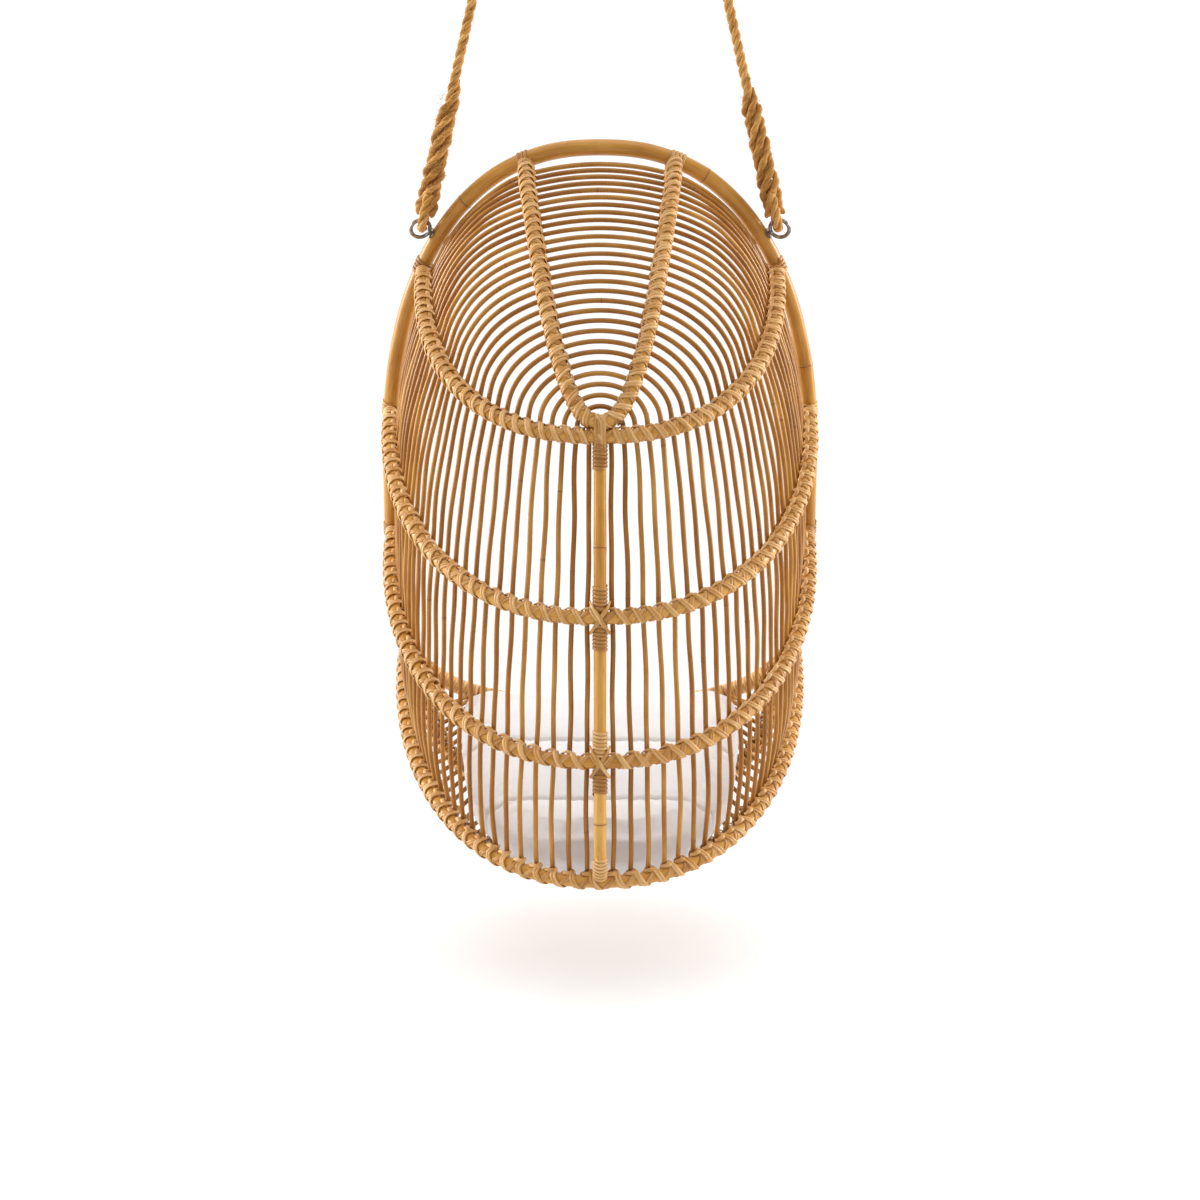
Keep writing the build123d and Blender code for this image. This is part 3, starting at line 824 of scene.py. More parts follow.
def make_rope(side, name):
    rng = random.Random(40 + int(side))
    line = rope_spline(side)
    splice = Builder()
    splice_strands(splice, side, rng)
    splice = splice.finish("rope_splice_strands_" + name, ROPE, "ropes", "hemp_rope", ["rope_splice_" + name])
    seizing = Builder()
    seizing_turns(seizing, side)
    seizing = seizing.finish(
        "rope_seizing_turns_" + name, TWINE, "ropes", "hemp_rope", ["rope_seizing_" + name])
    strays = Builder()
    fuzz(strays, line[EYE_ROWS:], 0.5 * ROPE_DIAMETER, 560, rng, 0.016)
    body = np.linspace(BARE_HEIGHT, SPLICE_TOP - 0.02, 60)[:, None] * rope_axis(side)
    fuzz(strays, eye_foot(side) + body, 0.0165, 420, rng, 0.013)
    strays = strays.finish("rope_stray_fibres_" + name, TWINE, "ropes", "hemp_rope")
    strands = Builder()
    laid_strands(strands, line, rng)
    rope = strands.finish("rope_strands_" + name, ROPE, "ropes", "hemp_rope", ["rope_" + name])


for rope_side, rope_name in ((1.0, "left"), (-1.0, "right")):
    make_rope(rope_side, rope_name)


# ---------------------------------------------------------------- basket poles and rods

CANE_SPACING = 0.0045
ROD_SPACING = 0.006
ROD_SWAY = 0.0006
JOINT_ROWS = (-0.004, -0.0022, -0.0012, -0.0004, 0.0004, 0.0012, 0.0022, 0.004)
RIM_JOINTS = (0.10, 0.264, 0.419, 0.559, 0.686, 0.825, 0.93)     # shares of the rim's length


def rim_line():
    steps = 8
    angles = [0.5 * math.pi * step / steps for step in range(steps + 1)]
    heights = [RIM_LOWER_END * (1.0 - max(0.0, math.cos(a)) ** (2.0 / RIM_LOWER_POWER)) for a in angles]
    span = RIM_HEIGHT - RIM_UPPER_START
    heights += [RIM_UPPER_START + span * math.sin(a) ** (2.0 / RIM_UPPER_POWER) for a in angles]
    half = np.array([on_rim(rim_half(height), height) for height in heights])
    half[0, 0] = 0.5 * BUTT_GAP
    return smooth(np.vstack((half, mirrored(half[:-1])[::-1])), CANE_SPACING)


def rib_line(section):
    """From the left end to the right end, trimmed where it meets the rim."""
    curve = section_curve(section)
    tilt = math.acos(unit(curve[-2] - curve[-1]) @ BEHIND_RIM)
    trim = RIM_RADIUS + BUTT_GAP + RIB_RADIUS * math.tan(tilt)
    end = 1.0 - trim / lengths(curve)[-1]
    steps = 9
    half = np.array([along(curve, end * step / steps) for step in range(steps, -1, -1)])
    return smooth(np.vstack((half, mirrored(half[:-1])[::-1])), CANE_SPACING)


def hood_surface(share, half):
    curve = section_curve(hood_section(share))
    return np.array([half] + [np.interp(half, curve[:, 0], curve[:, axis]) for axis in (1, 2)])


def hairpin_line():
    steps = 10
    half = []
    for part in [step / steps for step in range(steps)] + [0.96]:
        share = HAIRPIN_BEND + (HAIRPIN_END - HAIRPIN_BEND) * part ** HAIRPIN_POWER
        half.append(hood_surface(share, HAIRPIN_END_HALF * part))
    curve = section_curve(hood_section(HAIRPIN_END))
    half.append(along(curve, 1.0 - HAIRPIN_TRIM / lengths(curve)[-1]))
    half = np.array(half)
    return smooth(np.vstack((half[::-1], mirrored(half[1:]))), CANE_SPACING)


def spine_line(lower, upper):
    first, last = SECTIONS.index(lower), SECTIONS.index(upper)
    points = [SECTION_CURVES[station][0] for station in range(first, last + 1)]
    trim = RIB_RADIUS + BUTT_GAP
    points[0] = points[0] + unit(points[1] - points[0]) * trim
    points[-1] = points[-1] + unit(points[-2] - points[-1]) * trim
    return smooth(points, CANE_SPACING)


def rod_line(number, rng):
    """From the left end, under the seat, up the back, over the hood and down again."""
    half = []
    if number <= LONG_ROD_COUNT:
        half.append(shell_point(0, number) + BEHIND_RIM * (RIM_RADIUS + ROD_RADIUS + ROD_END_GAP))
    offset = RIB_RADIUS + ROD_RADIUS + SEAT_GAP
    for station in range(1, LAST_STATION + 1):
        half.append(shell_point(station, number) + inward(station, number) * offset)
    half = np.array(half)
    line = smooth(np.vstack((half, mirrored(half[:-1])[::-1])), ROD_SPACING)
    run = lengths(line)
    fade = np.clip(np.minimum(run, run[-1] - run) / 0.05, 0.0, 1.0)
    sway = np.sin(run * 23.0 + rng.random() * 6.0) + np.sin(run * 41.0 + rng.random() * 6.0)
    line[:, 0] += ROD_SWAY * fade * sway
    return line


def cane(name, line, radius, sides, joints, material, slot, node, rng):
    """A length of cane: slightly uneven, with a raised ring at each joint."""
    extra = [joint + shift for joint in joints for shift in JOINT_ROWS]
    line = resampled(line, CANE_SPACING if sides > 10 else ROD_SPACING, extra)
    run = lengths(line)
    phase = [rng.random() * 6.0 for _ in range(3)]
    uneven = 0.012 * np.sin(run * 17.0 + phase[0]) + 0.008 * np.sin(run * 47.0 + phase[1])
    mark = np.zeros(len(run))
    swelling = np.zeros(len(run))
    for joint in joints:
        away = run - joint
        ring = np.exp(-(away / 0.0013) ** 2)
        groove = np.exp(-((away - 0.0032) / 0.0011) ** 2)
        swelling += 0.030 * ring + 0.020 * np.exp(-(away / 0.010) ** 2) - 0.018 * groove
        mark = np.maximum(mark, np.maximum(ring, 0.45 * np.exp(-(away / 0.006) ** 2)))
    builder = Builder()
    rings = tube_rings(line, radius * (1.0 + uneven + swelling), sides, outward_from_middle(line[:1])[0])
    builder.loft(rings, run + phase[2], radius, rng.random(), mark)
    return builder.finish(name, material, "basket", slot, [node])


def random_joints(length, rng, first=0.12, gap=(0.24, 0.36)):
    joints, at = [], first + 0.1 * rng.random()
    while at < length - 0.03:
        joints.append(at)
        at += rng.uniform(*gap)
    return joints


CANE_RNG = random.Random(7)
RIM = rim_line()
RIM_LENGTH = lengths(RIM)[-1]
RIM_MARKS = [share * RIM_LENGTH for share in RIM_JOINTS]
cane("rim_cane", RIM, RIM_RADIUS, 24, RIM_MARKS, POLE, "rattan_pole", "rim_hoop", CANE_RNG)

POLES = {name: rib_line(section) for name, section in RIBS.items()}
POLES["hood_hairpin"] = hairpin_line()
for pole_name, pole_line in POLES.items():
    pole_joints = random_joints(lengths(pole_line)[-1], CANE_RNG)
    cane(
        "rib_cane_" + pole_name, pole_line, RIB_RADIUS, 18, pole_joints, POLE,
        "rattan_pole", "rib_" + pole_name, CANE_RNG,
    )

SPINES = {
    "lower": spine_line(SEAT_REAR, BACK_LOWER),
    "middle": spine_line(BACK_LOWER, BACK_UPPER),
    "upper": spine_line(BACK_UPPER, CROWN),
}
SPINE_JOINTS = {"lower": (0.098,), "middle": (), "upper": (0.10,)}
for pole_name, pole_line in SPINES.items():
    cane(
        "spine_cane_" + pole_name, pole_line, RIB_RADIUS, 18, SPINE_JOINTS[pole_name], POLE,
        "rattan_pole", "spine_" + pole_name, CANE_RNG,
    )

RODS = [rod_line(number, CANE_RNG) for number in range(1, ROD_COUNT + 1)]
for number, line in enumerate(RODS, start=1):
    label = str(number).zfill(2)
    rod_joints = random_joints(lengths(line)[-1], CANE_RNG, 0.2, (0.5, 1.1))
    cane(
        "shell_cane_" + label, line, ROD_RADIUS, 10, rod_joints, ROD,
        "rattan_rod", "shell_rod_" + label, CANE_RNG,
    )


# ---------------------------------------------------------------- lashings

class Crossing:
    """Where a rod passes behind a pole: the distance along the pole, and the directions there."""

    def __init__(self, distance, outward, rod_forward):
        self.distance = distance
        self.outward = outward
        self.rod_forward = rod_forward


def crossings(pole):
    """Every place where a rod passes behind the pole, sorted along it."""
    forward = tangents(pole)
    run = lengths(pole)
    found = []
    for rod in RODS:
        rod_forward = tangents(rod)
        for side in (1.0, -1.0):
            pole_rows = np.nonzero(pole[:, 0] * side > 0.004)[0]
            rod_rows = np.nonzero(rod[:, 0] * side > 0.0)[0]
            gaps = np.linalg.norm(pole[pole_rows][:, None] - rod[rod_rows][None], axis=2)
            pole_row, rod_row = np.unravel_index(np.argmin(gaps), gaps.shape)
            at_end = pole_row in (0, len(pole_rows) - 1) and abs(pole[pole_rows[pole_row], 0]) > 0.02
            if gaps[pole_row, rod_row] > RIB_RADIUS + ROD_RADIUS + SEAT_GAP + 0.004 or at_end:
                continue
            pole_row, rod_row = pole_rows[pole_row], rod_rows[rod_row]
            outward = pole[pole_row] - rod[rod_row]
            outward = unit(outward - forward[pole_row] * (outward @ forward[pole_row]))
            third = np.cross(outward, forward[pole_row])
            along_rod = rod_forward[rod_row]
            along_rod = along_rod / (along_rod @ third) if abs(along_rod @ third) > 0.35 else third
            found.append(Crossing(run[pole_row], outward, along_rod))
    return sorted(found, key=lambda crossing: crossing.distance)


class Lashed:
    """A pole with its crossings, giving points round it and behind the rods."""

    def __init__(self, points, found):
        distances = [crossing.distance for crossing in found]
        outward = np.array([crossing.outward for crossing in found])
        self.line = Line(points, read_at(lengths(points), distances, outward))
        self.found = found

    def round(self, distance, degrees, radius):
        """A point and its outward direction at an angle round the pole, 0 outward and 90 up."""
        point, _, outward, up = self.line.at(distance)
        angle = math.radians(degrees)
        spoke = outward * math.cos(angle) + up * math.sin(angle)
        return point + spoke * radius, spoke

    def behind(self, crossing, forward_by, up_by, out_by):
        """A point given from where the crossing's rod passes the pole."""
        point, forward, outward, _ = self.line.at(crossing.distance)
        return point + forward * forward_by + crossing.rod_forward * up_by + outward * out_by


LASH_UNDER = RIB_RADIUS + 0.0001
LASH_OVER = RIB_RADIUS + 0.0009
LASH_INSIDE = -(RIB_RADIUS + SEAT_GAP + 2.0 * ROD_RADIUS + 0.0006)
LASH_GAP = 0.022            # after the last rod
LASH_LONGEST = 0.030
LASH_SHORTEST = 0.006
DOUBLED_GAP = 0.0135
LASH_JITTER = 0.0007
# Shift along the pole, share of the gap before it, degrees round it, height over it, jittered or not
BACK_STRAND = [
    (0.0030, 0.0, 128.0, 0.0012, 0), (0.0022, 0.0, 82.0, 0.0, 0), (0.0, -0.14, 38.0, 0.0, 1),
    (0.0, -0.40, -12.0, 0.0, 1), (0.0, -0.60, -62.0, 0.0, 1), (0.0, -0.68, -118.0, 0.0, 0),
]
# Distances from the rod's place: along the pole, along the rod and outward. The upper side: the same order
INSIDE_STRAND = [
    ((-0.0075, -0.0085, -0.0085), (0.0, -0.8, -1.0)),
    ((-0.0048, -0.0062, LASH_INSIDE + 0.004), (-0.5, 0.0, -1.0)),
    ((0.0, 0.0, LASH_INSIDE), (0.0, 0.0, -1.0)),
    ((0.0048, 0.0062, LASH_INSIDE + 0.004), (0.5, 0.0, -1.0)),
    ((0.0065, 0.0110, -0.0080), (0.0, 0.8, -1.0)),
]
# Share of the gap after it, degrees round the pole, height over it, jittered or not, lifted or not
FRONT_STRAND = [
    (0.30, 62.0, 0.0010, 1, 1), (0.52, 8.0, 0.0008, 1, 1), (0.78, -48.0, 0.0005, 1, 0),
    (0.92, -100.0, 0.0, 0, 0), (0.96, -138.0, 0.0008, 0, 0),
]
PLY_LIFT = 0.0004
# As the inside strand, but the first distance is a share of the cap's reach
CAP_STRAND = [
    ((-1.0, 0.0062, -0.0105), (-1.0, 1.0, -1.0)),
    ((-0.62, 0.0112, -0.0062), (-0.4, 1.0, 0.0)),
    ((0.0, 0.0134, -0.0050), (0.0, 1.0, 0.5)),
    ((0.62, 0.0112, -0.0052), (0.4, 1.0, 0.4)),
    ((1.0, 0.0070, -0.0085), (1.0, 1.0, 0.0)),
]
CAP_REACH = 0.0100
CAP_WIDTH = 0.0074
CAP_THICKNESS = 0.0019


def lash_crossing(builder, lashed, index, rng):
    """Peel over the rod inside and across the pole outside, a strand back, and a cap on the pole's edge."""
    crossing = lashed.found[index]
    at = crossing.distance
    gap = LASH_GAP
    if index + 1 < len(lashed.found):
        gap = min(LASH_LONGEST, lashed.found[index + 1].distance - at)
    last_gap = gap if index == 0 else min(LASH_LONGEST, at - lashed.found[index - 1].distance)
    if gap < LASH_SHORTEST:
        return
    _, forward, outward, up = lashed.line.at(at)
    directions = np.array((forward, up, outward))
    jitter = [rng.uniform(-LASH_JITTER, LASH_JITTER) for _ in range(6)]
    width = PEEL_WIDTH * rng.uniform(0.92, 1.08)
    doubled = gap > DOUBLED_GAP
    plies = (-0.5, 0.5) if doubled else (0.0,)

    for ply in plies:
        start = at + ply * 0.94 * width
        moves = iter(jitter[:3])
        back = []
        for shift, share, degrees, height, moved in BACK_STRAND:
            distance = start + shift + share * last_gap + (next(moves) if moved else 0.0)
            back.append(lashed.round(distance, degrees, LASH_UNDER + height))
        strip_through(builder, *zip(*back), width, PEEL_THICKNESS, 0.15 + 0.55 * rng.random())

    for ply in plies:
        shift = ply * 0.94 * width
        moves = iter(jitter[3:])
        strand = [
            (lashed.behind(crossing, shift + along_pole, along_rod, out), np.array(facing) @ directions)
            for (along_pole, along_rod, out), facing in INSIDE_STRAND
        ]
        for share, degrees, height, moved, lifted in FRONT_STRAND:
            distance = at + shift + share * gap + (next(moves) if moved else 0.0)
            strand.append(lashed.round(distance, degrees, LASH_OVER + height + lifted * PLY_LIFT * ply))
        tone = 0.45 + 0.55 * rng.random()
        strip_through(builder, *zip(*strand), width if doubled else 1.5 * width, PEEL_THICKNESS, tone)

    reach = min(CAP_REACH, 0.55 * gap)
    cap = [
        (lashed.behind(crossing, share * reach, along_rod, out), np.array(facing) @ directions)
        for (share, along_rod, out), facing in CAP_STRAND
    ]
    strip_through(builder, *zip(*cap), CAP_WIDTH, CAP_THICKNESS, 0.35 + 0.6 * rng.random())


def lash_pole(name, rng):
    points = POLES[name]
    lashed = Lashed(points, crossings(points))
    builder = Builder()
    for index in range(len(lashed.found)):
        lash_crossing(builder, lashed, index, rng)
    return builder.finish("lashing_" + name, PEEL, "basket", "rattan_peel")


def nearest_distance(points, target):
    return lengths(points)[np.argmin(np.linalg.norm(points - target, axis=1))]


RIM_WRAP_HALF = 0.0115
RIB_WRAP = (0.001, 0.019)
LIP_TOP = 0.075             # height on the rim where the lip's wrap ends
LIP_SPAN = 0.30
TIE_STEPS = 24
TIE_REACH = (0.0194, 0.0158)    # behind the rim, and across it
TIE_BACK = 0.0047
TIE_SLANT = 0.0030


def rib_end_wraps(rng):
    """Turns of peel round the rim where each rib meets it, and round the rib's end."""
    builder = Builder()
    rim = facing_out(RIM)
    for points in POLES.values():
        pole = facing_out(points)
        start, stop = RIB_WRAP
        for end, span in ((0, (start, stop)), (-1, (pole.length - stop, pole.length - start))):
            at = nearest_distance(RIM, points[end])
            first = rng.random() * 6.0
            on_pole = (at - RIM_WRAP_HALF, at + RIM_WRAP_HALF)
            coil(builder, rim, *on_pole, 0.0064, RIM_RADIUS + 0.0004, 0.0060, 0.0019, rng, first)
            coil(builder, pole, *span, 0.0062, RIB_RADIUS + 0.0006, 0.0058, 0.0019, rng, first)
    return builder.finish("rib_end_wraps", PEEL, "basket", "rattan_peel")


def lip_wrap(rng):
    """Peel wound closely round the front of the rim, and a tie round each rod's end."""
    builder = Builder()
    rows = np.nonzero((RIM[:, 2] < on_rim(0.0, LIP_SPAN)[2]))[0]
    split = np.nonzero(np.diff(rows) > 1)[0][0] + 1
    points = np.vstack((RIM[rows[split:]], RIM[rows[:split]]))
    lip = facing_out(points)
    inside = np.nonzero(points[:, 2] < on_rim(0.0, LIP_TOP)[2])[0]
    start, stop = lip.run[inside[0]], lip.run[inside[-1]]
    coil(builder, lip, start, stop, 0.0066, RIM_RADIUS + 0.0002, 0.0063, 0.0016, rng)
    for rod in RODS[:LONG_ROD_COUNT]:
        for end in (rod[0], rod[-1]):
            point, forward, _, _ = lip.at(nearest_distance(points, end))
            third = unit(np.cross(forward, BEHIND_RIM))
            knots, ups = [], []
            for step in range(TIE_STEPS + 1):
                angle = math.tau * step / TIE_STEPS
                spoke = BEHIND_RIM * math.cos(angle) * TIE_REACH[0] + third * math.sin(angle) * TIE_REACH[1]
                knots.append(point + BEHIND_RIM * TIE_BACK + spoke + forward * TIE_SLANT * math.sin(angle))
                ups.append(unit(spoke))
            strip(builder, np.array(knots), np.array(ups), 0.0046, 0.0012, rng.random())
    return builder.finish("lip_wrap", PEEL, "basket", "rattan_peel")


BINDING_LENGTH = 0.040
BINDING_START = 0.0015
CROSS_WIDTH = 0.0054
CROSS_SHIFT = 0.0026
# Knots of a crossed strand from a rib's middle: sideways, back and up
CROSS_STRAND = [
    (-0.0125, -0.004, -0.022), (-0.0095, 0.0085, -0.016), (0.0, 0.0125, 0.0), (0.0095, 0.0085, 0.016),
    (0.0125, -0.004, 0.022),
]
STRIP_COLUMNS = 4
STRIP_STEP = 0.0046
# Knots of a strip over the hood's bend: back, along the way up from the bend, and up, then the upper side
BEND_KNOTS = [
    (0.0096, 0.0, 0.006, BACK + 0.5 * UP), (0.0050, 0.0085, 0.002, BACK + UP),
    (-0.0050, 0.0100, 0.0, UP - 0.4 * BACK),
]


def cross_strands(builder, centre, rng):
    for hand in (1.0, -1.0):
        for shift in (-CROSS_SHIFT, CROSS_SHIFT):
            knots, ups = [], []
            for x, y, z in CROSS_STRAND:
                over = 0.0006 * hand if x == 0.0 else 0.0
                knots.append(centre + np.array((hand * x + shift, y + over, z + hand * shift)))
                ups.append(unit(np.array((hand * x * 0.9, 0.012, 0.0)) + BACK * 1e-3))
            strip_through(builder, knots, ups, CROSS_WIDTH, PEEL_THICKNESS, 0.4 + 0.6 * rng.random())


def spine_bindings(rng):
    """Close coils on the spine beside the ribs, crossed strands over them, and strips to the hood's bend."""
    builder = Builder()
    for points in SPINES.values():
        pole = facing_out(points)
        for start in (BINDING_START, pole.length - BINDING_LENGTH):
            stop = start + BINDING_LENGTH - BINDING_START
            first = rng.random() * 6.0
            coil(builder, pole, start, stop, COIL_PITCH, RIB_RADIUS + 0.0003, COIL_WIDTH, 0.0019, rng, first)
    for _, back, rise, _ in (BACK_UPPER, BACK_LOWER):
        cross_strands(builder, place(0.0, back, rise), rng)
    crown = place(0.0, CROWN[1], CROWN[2])
    bend = hood_surface(HAIRPIN_BEND, 0.0)
    rise = unit(bend - crown)
    for column in range(STRIP_COLUMNS):
        x = (column - 0.5 * (STRIP_COLUMNS - 1)) * STRIP_STEP
        round_off = math.sqrt(max(0.0, (RIB_RADIUS + 0.001) ** 2 - (1.2 * x) ** 2))
        below = ((round_off - 0.0002, -0.052), (round_off + 0.0006, -0.024), (0.0112, -0.004), (0.0110, 0.006))
        knots = [crown + np.array((x, back, up)) for back, up in below]
        for back, along_rise, up, _ in BEND_KNOTS:
            knots.append(bend + rise * along_rise + np.array((x, back, up)))
        ups = [BACK] * 4 + [unit(facing) for *_, facing in BEND_KNOTS]
        strip_through(builder, knots, ups, 0.0047, 0.0017, 0.35 + 0.65 * rng.random())
    return builder.finish("spine_binding_coils", PEEL, "basket", "rattan_peel", ["spine_bindings"])


LASH_RNG = random.Random(23)
for pole_name in POLES:
    lash_pole(pole_name, LASH_RNG)
rib_end_wraps(LASH_RNG)
lip_wrap(LASH_RNG)
spine_bindings(LASH_RNG)

for node_name in (
    "eye_bolt_left", "eye_bolt_right", "eye_bolt_washers", "eye_bolt_nuts", "rope_thimble_left",
    "rope_thimble_right",
):
    for material_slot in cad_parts[node_name].material_slots:
        material_slot.material = STEEL


# ---------------------------------------------------------------- cushion

CUSHION_TILT = math.radians(10.0)
CUSHION_TOP_RISE = 0.036
CUSHION_EDGE = 0.022
CUSHION_TOP_POWER = 7.0
CUSHION_BOWL_POWER = 2.4
CUSHION_SECTIONS = [
    (0.047, 0.256, 0.020),
    (0.062, 0.262, 0.036),
    (0.100, 0.268, 0.070),
    (0.205, 0.268, 0.122),
    (0.320, 0.260, 0.132),
    (0.440, 0.242, 0.122),
    (0.550, 0.200, 0.106),
    (0.615, 0.145, 0.084),
    (0.652, 0.070, 0.050),
]
CUSHION_SHRINK = 0.007      # the cushion is cut smaller than its place, and swells
CUSHION_PLUMP = 0.017       # how far the stuffed front stands above its place
PLUMPNESS = ((0.056, 0.066, 0.300, 0.480), (0.010, CUSHION_PLUMP, CUSHION_PLUMP, 0.0))
CUSHION_SPARE = 0.008       # what the inflated top may add to that
CUSHION_SIDE_SPARE = 0.0012
CUSHION_RINGS = 26
CUSHION_SIDES = 56
CUSHION_THINNEST = 0.012
CUSHION_VOXEL = 0.006
CUSHION_CAP = 0.012
SEAMS = (0.311, 0.518)      # distance back of the sewn channels
SEAM_DEPTH = 0.007
CLOTH_FRAMES = 20
CLOTH_SETTINGS = {
    "quality": 6, "mass": 0.3, "use_pressure": True, "uniform_pressure_force": 4.0,
    "tension_stiffness": 18.0, "compression_stiffness": 18.0, "bending_stiffness": 1.0,
}


def cushion_form():
    """A closed plain form a little smaller than the finished cushion."""
    table = np.array(CUSHION_SECTIONS)
    depths = np.linspace(table[0, 0] + CUSHION_SHRINK, table[-1, 0] - CUSHION_SHRINK, CUSHION_RINGS)
    rings = []
    for depth in depths:
        half = np.interp(depth, table[:, 0], table[:, 1]) - CUSHION_SHRINK
        thickness = np.interp(depth, table[:, 0], table[:, 2]) - 2.0 * CUSHION_SHRINK
        thickness = max(thickness, CUSHION_THINNEST)
        top = CUSHION_TOP_RISE - CUSHION_SHRINK - (depth - table[0, 0]) * math.tan(CUSHION_TILT)
        plump = np.interp(depth, *PLUMPNESS)
        top, thickness = top + plump, thickness + plump
        edge = min(CUSHION_EDGE, 0.5 * thickness)
        ring = []
        for step in range(CUSHION_SIDES):
            angle = math.tau * step / CUSHION_SIDES
            across, up = math.cos(angle), math.sin(angle)
            power = CUSHION_TOP_POWER if up >= 0.0 else CUSHION_BOWL_POWER
            reach = edge if up >= 0.0 else thickness - edge
            x = half * math.copysign(abs(across) ** (2.0 / power), across)
            z = reach * math.copysign(abs(up) ** (2.0 / power), up)
            ring.append(place(x, depth, top - edge + z))
        rings.append(ring)
    form = Builder()
    form.loft(rings, depths, 0.1, 0.0)
    return add_object("cushion", form.mesh("cushion_form"))


def keep_result(piece):
    """Makes what the piece's modifiers give its own mesh."""
    graph = bpy.context.evaluated_depsgraph_get()
    mesh = bpy.data.meshes.new_from_object(piece.evaluated_get(graph))
    piece.modifiers.clear()
    piece.data = mesh


def with_modifier(piece, kind, **settings):
    """Adds one modifier, sets it, and keeps its result as the piece's mesh."""
    modifier = piece.modifiers.new(kind.lower(), kind)
    for name, value in settings.items():
        setattr(modifier, name, value)
    keep_result(piece)


def set_vertices(mesh, points):
    mesh.vertices.foreach_set("co", points.astype(np.float32).ravel())
    mesh.update()


def normals(mesh):
    values = np.zeros(len(mesh.vertices) * 3, np.float32)
    mesh.vertex_normals.foreach_get("vector", values)
    return values.reshape(-1, 3).astype(float)


def inflate(piece):
    """Swells the form as cloth under pressure, with no point moving further than the cap."""
    start = vertices(piece.data)
    modifier = piece.modifiers.new("cloth", "CLOTH")
    for name, value in CLOTH_SETTINGS.items():
        setattr(modifier.settings, name, value)
    modifier.settings.effector_weights.gravity = 0.0
    scene = bpy.context.scene
    scene.frame_start, scene.frame_end = 1, CLOTH_FRAMES
    for step in range(1, CLOTH_FRAMES + 1):
        scene.frame_set(step)
    keep_result(piece)
    scene.frame_set(1)
    moved = vertices(piece.data) - start
    far = np.linalg.norm(moved, axis=1)
    kept = moved * np.minimum(1.0, CUSHION_CAP / np.maximum(far, 1e-9))[:, None]
    set_vertices(piece.data, start + kept)


def sew(piece, rng):
    """Pulls the cover in along its sewn channels, with small gathers beside the stitches, and marks each
    groove for the painted shade laid there.
    """
    mesh = piece.data
    points, facing = vertices(mesh), normals(mesh)
    back = points[:, 1] + ROPE_DEPTH
    phases = [rng.random() * 6.0 for _ in range(6)]
    x = points[:, 0]
    level = np.zeros(len(points))
    seam_groove_shade = np.zeros(len(points))
    for index, seam in enumerate(SEAMS):
        bow = 0.003 * np.sin(x * 9.0 + phases[index])
        away = back - seam - bow
        level -= SEAM_DEPTH * np.exp(-(away / 0.0042) ** 2)
        level -= 0.0035 * np.exp(-(away / 0.022) ** 2)
        pleat = np.sin(x * 250.0 + 2.0 * np.sin(x * 61.0 + phases[2]) + phases[3 + index])
        level += 0.0012 * pleat * np.exp(-(np.abs(away) / 0.016) ** 1.5)
        # the mark for painted shade along the bottom of each sewn groove
        seam_groove_shade = np.maximum(seam_groove_shade, np.exp(-(away / 0.0034) ** 2))
    crown = 0.0045 * np.cos((back - 0.18) / 0.13 * 0.5 * math.pi) ** 2
    level += crown * (facing[:, 2] > 0.3)
    soft = np.sin(x * 23.0 + phases[0]) * np.sin(back * 31.0 + phases[1])
    level += 0.0009 * soft + 0.0005 * np.sin(x * 71.0 + back * 53.0)
    set_vertices(mesh, points + facing * level[:, None])
    write_marks(mesh, "seam", seam_groove_shade)


def keep_inside(piece):
    """Draws back what would stand outside the cushion's place: a little more may stand proud on top."""
    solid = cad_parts["seat_cushion"]
    points = vertices(piece.data)
    for index, point in enumerate(points):
        hit, surface, normal, _ = solid.closest_point_on_mesh(Vector(point))
        outside = (Vector(point) - surface) @ normal
        above = normal.z > 0.3 or point[2] > surface.z + 0.003
        allowed = CUSHION_PLUMP + CUSHION_SPARE if above else CUSHION_SIDE_SPARE
        if hit and outside > allowed:
            points[index] = surface + normal * allowed
    set_vertices(piece.data, points)


def make_cushion():
    piece = cushion_form()
    with_modifier(piece, "REMESH", mode="VOXEL", voxel_size=CUSHION_VOXEL)
    with_modifier(piece, "SMOOTH", factor=0.5, iterations=6)
    inflate(piece)
    with_modifier(piece, "SUBSURF", levels=1, render_levels=1)
    sew(piece, random.Random(5))
    keep_inside(piece)
    piece.name = "seat_cushion_cover"
    piece.data.materials.clear()
    piece.data.materials.append(CLOTH)
    piece.data.shade_smooth()
    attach(piece, "cushion")
    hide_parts("seat_cushion")


make_cushion()


# ---------------------------------------------------------------- floor, light and camera

FLOOR_HALF = 40.0
FLOOR_COLOURS = [(0.3, (0.80, 0.80, 0.80)), (0.7, (0.82, 0.82, 0.82))]
WHITE = (1.0, 1.0, 1.0, 1.0)
LIT_MIDDLE = (0.0, 0.0, -1.05)
SOFTBOX_SPREAD = 50.0
SOFTBOX_PLACE = (2.9, -0.6, -0.35)
SOFTBOX_SIZE = (1.6, 2.2)
SKY = {"From Min": -0.45, "From Max": 0.35, "To Min": 1.08, "To Max": 0.48}
SUN_POWER = 1.45
SUN_ANGLE = 75.0
SUN_TILT = -8.0


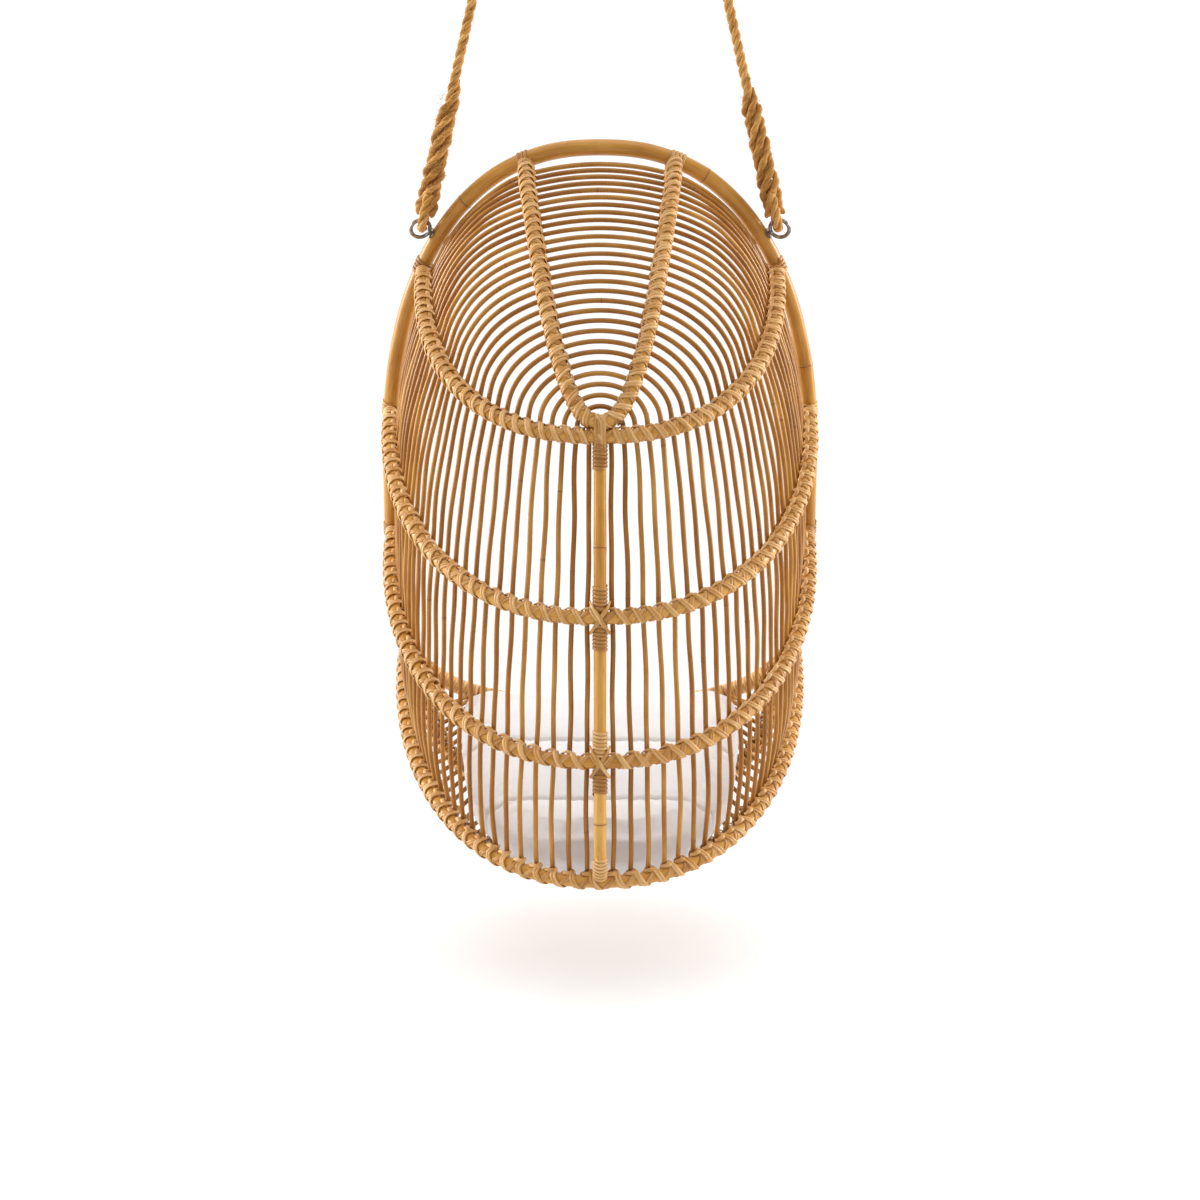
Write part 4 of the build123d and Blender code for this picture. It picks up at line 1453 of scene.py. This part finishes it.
def pale_floor():
    nodes = Nodes("pale_floor")
    material = nodes.surface(
        Base_Color=nodes.ramp(nodes.noise(nodes.spot(), 3.0, 2.0), FLOOR_COLOURS), Roughness=0.9,
        Specular_IOR_Level=0.1, Emission_Color=WHITE, Emission_Strength=0.05,
    )
    mesh = bpy.data.meshes.new("floor")
    corners = [(x * FLOOR_HALF, y * FLOOR_HALF, 0.0) for x, y in ((-1, -1), (1, -1), (1, 1), (-1, 1))]
    mesh.from_pydata(corners, [], [(0, 1, 2, 3)])
    mesh.materials.append(material)
    floor = add_object("floor", mesh)
    floor.location = (0.0, 0.0, FLOOR_HEIGHT)


def softbox(name, side, power):
    light = bpy.data.lights.new(name, "AREA")
    light.shape = "RECTANGLE"
    light.size, light.size_y = SOFTBOX_SIZE
    light.energy = power
    light.spread = math.radians(SOFTBOX_SPREAD)
    holder = add_object(name, light)
    spot = Vector((side * SOFTBOX_PLACE[0], *SOFTBOX_PLACE[1:]))
    holder.location = spot
    holder.rotation_euler = (Vector(LIT_MIDDLE) - spot).to_track_quat("-Z", "Y").to_euler()


def studio():
    """A white sky that is brightest towards -Y, two softboxes and a wide sun overhead."""
    world = bpy.data.worlds.new("studio")
    bpy.context.scene.world = world
    world.use_nodes = True
    tree = world.node_tree
    direction = tree.nodes.new("ShaderNodeTexCoord")
    parts = tree.nodes.new("ShaderNodeSeparateXYZ")
    level = tree.nodes.new("ShaderNodeMapRange")
    tree.links.new(direction.outputs["Generated"], parts.inputs["Vector"])
    tree.links.new(parts.outputs["Y"], level.inputs["Value"])
    for name, number in SKY.items():
        level.inputs[name].default_value = number
    tree.nodes["Background"].inputs["Color"].default_value = WHITE
    tree.links.new(level.outputs["Result"], tree.nodes["Background"].inputs["Strength"])
    softbox("left_softbox", 1.0, 16.0)
    softbox("right_softbox", -1.0, 13.5)
    sun = bpy.data.lights.new("overhead", "SUN")
    sun.energy = SUN_POWER
    sun.angle = math.radians(SUN_ANGLE)
    add_object("overhead", sun).rotation_euler = (math.radians(SUN_TILT), 0.0, 0.0)
    bpy.context.scene.view_settings.view_transform = "Standard"


def camera():
    data = bpy.data.cameras.new("camera")
    data.lens = CAMERA_LENS
    data.sensor_width = 36.0
    holder = add_object("camera", data)
    holder.location = (0.0, CAMERA_BACK - ROPE_DEPTH, CAMERA_HEIGHT)
    holder.rotation_euler = (math.radians(90.0 - CAMERA_PITCH), 0.0, math.pi)
    bpy.context.scene.camera = holder


pale_floor()
studio()
camera()
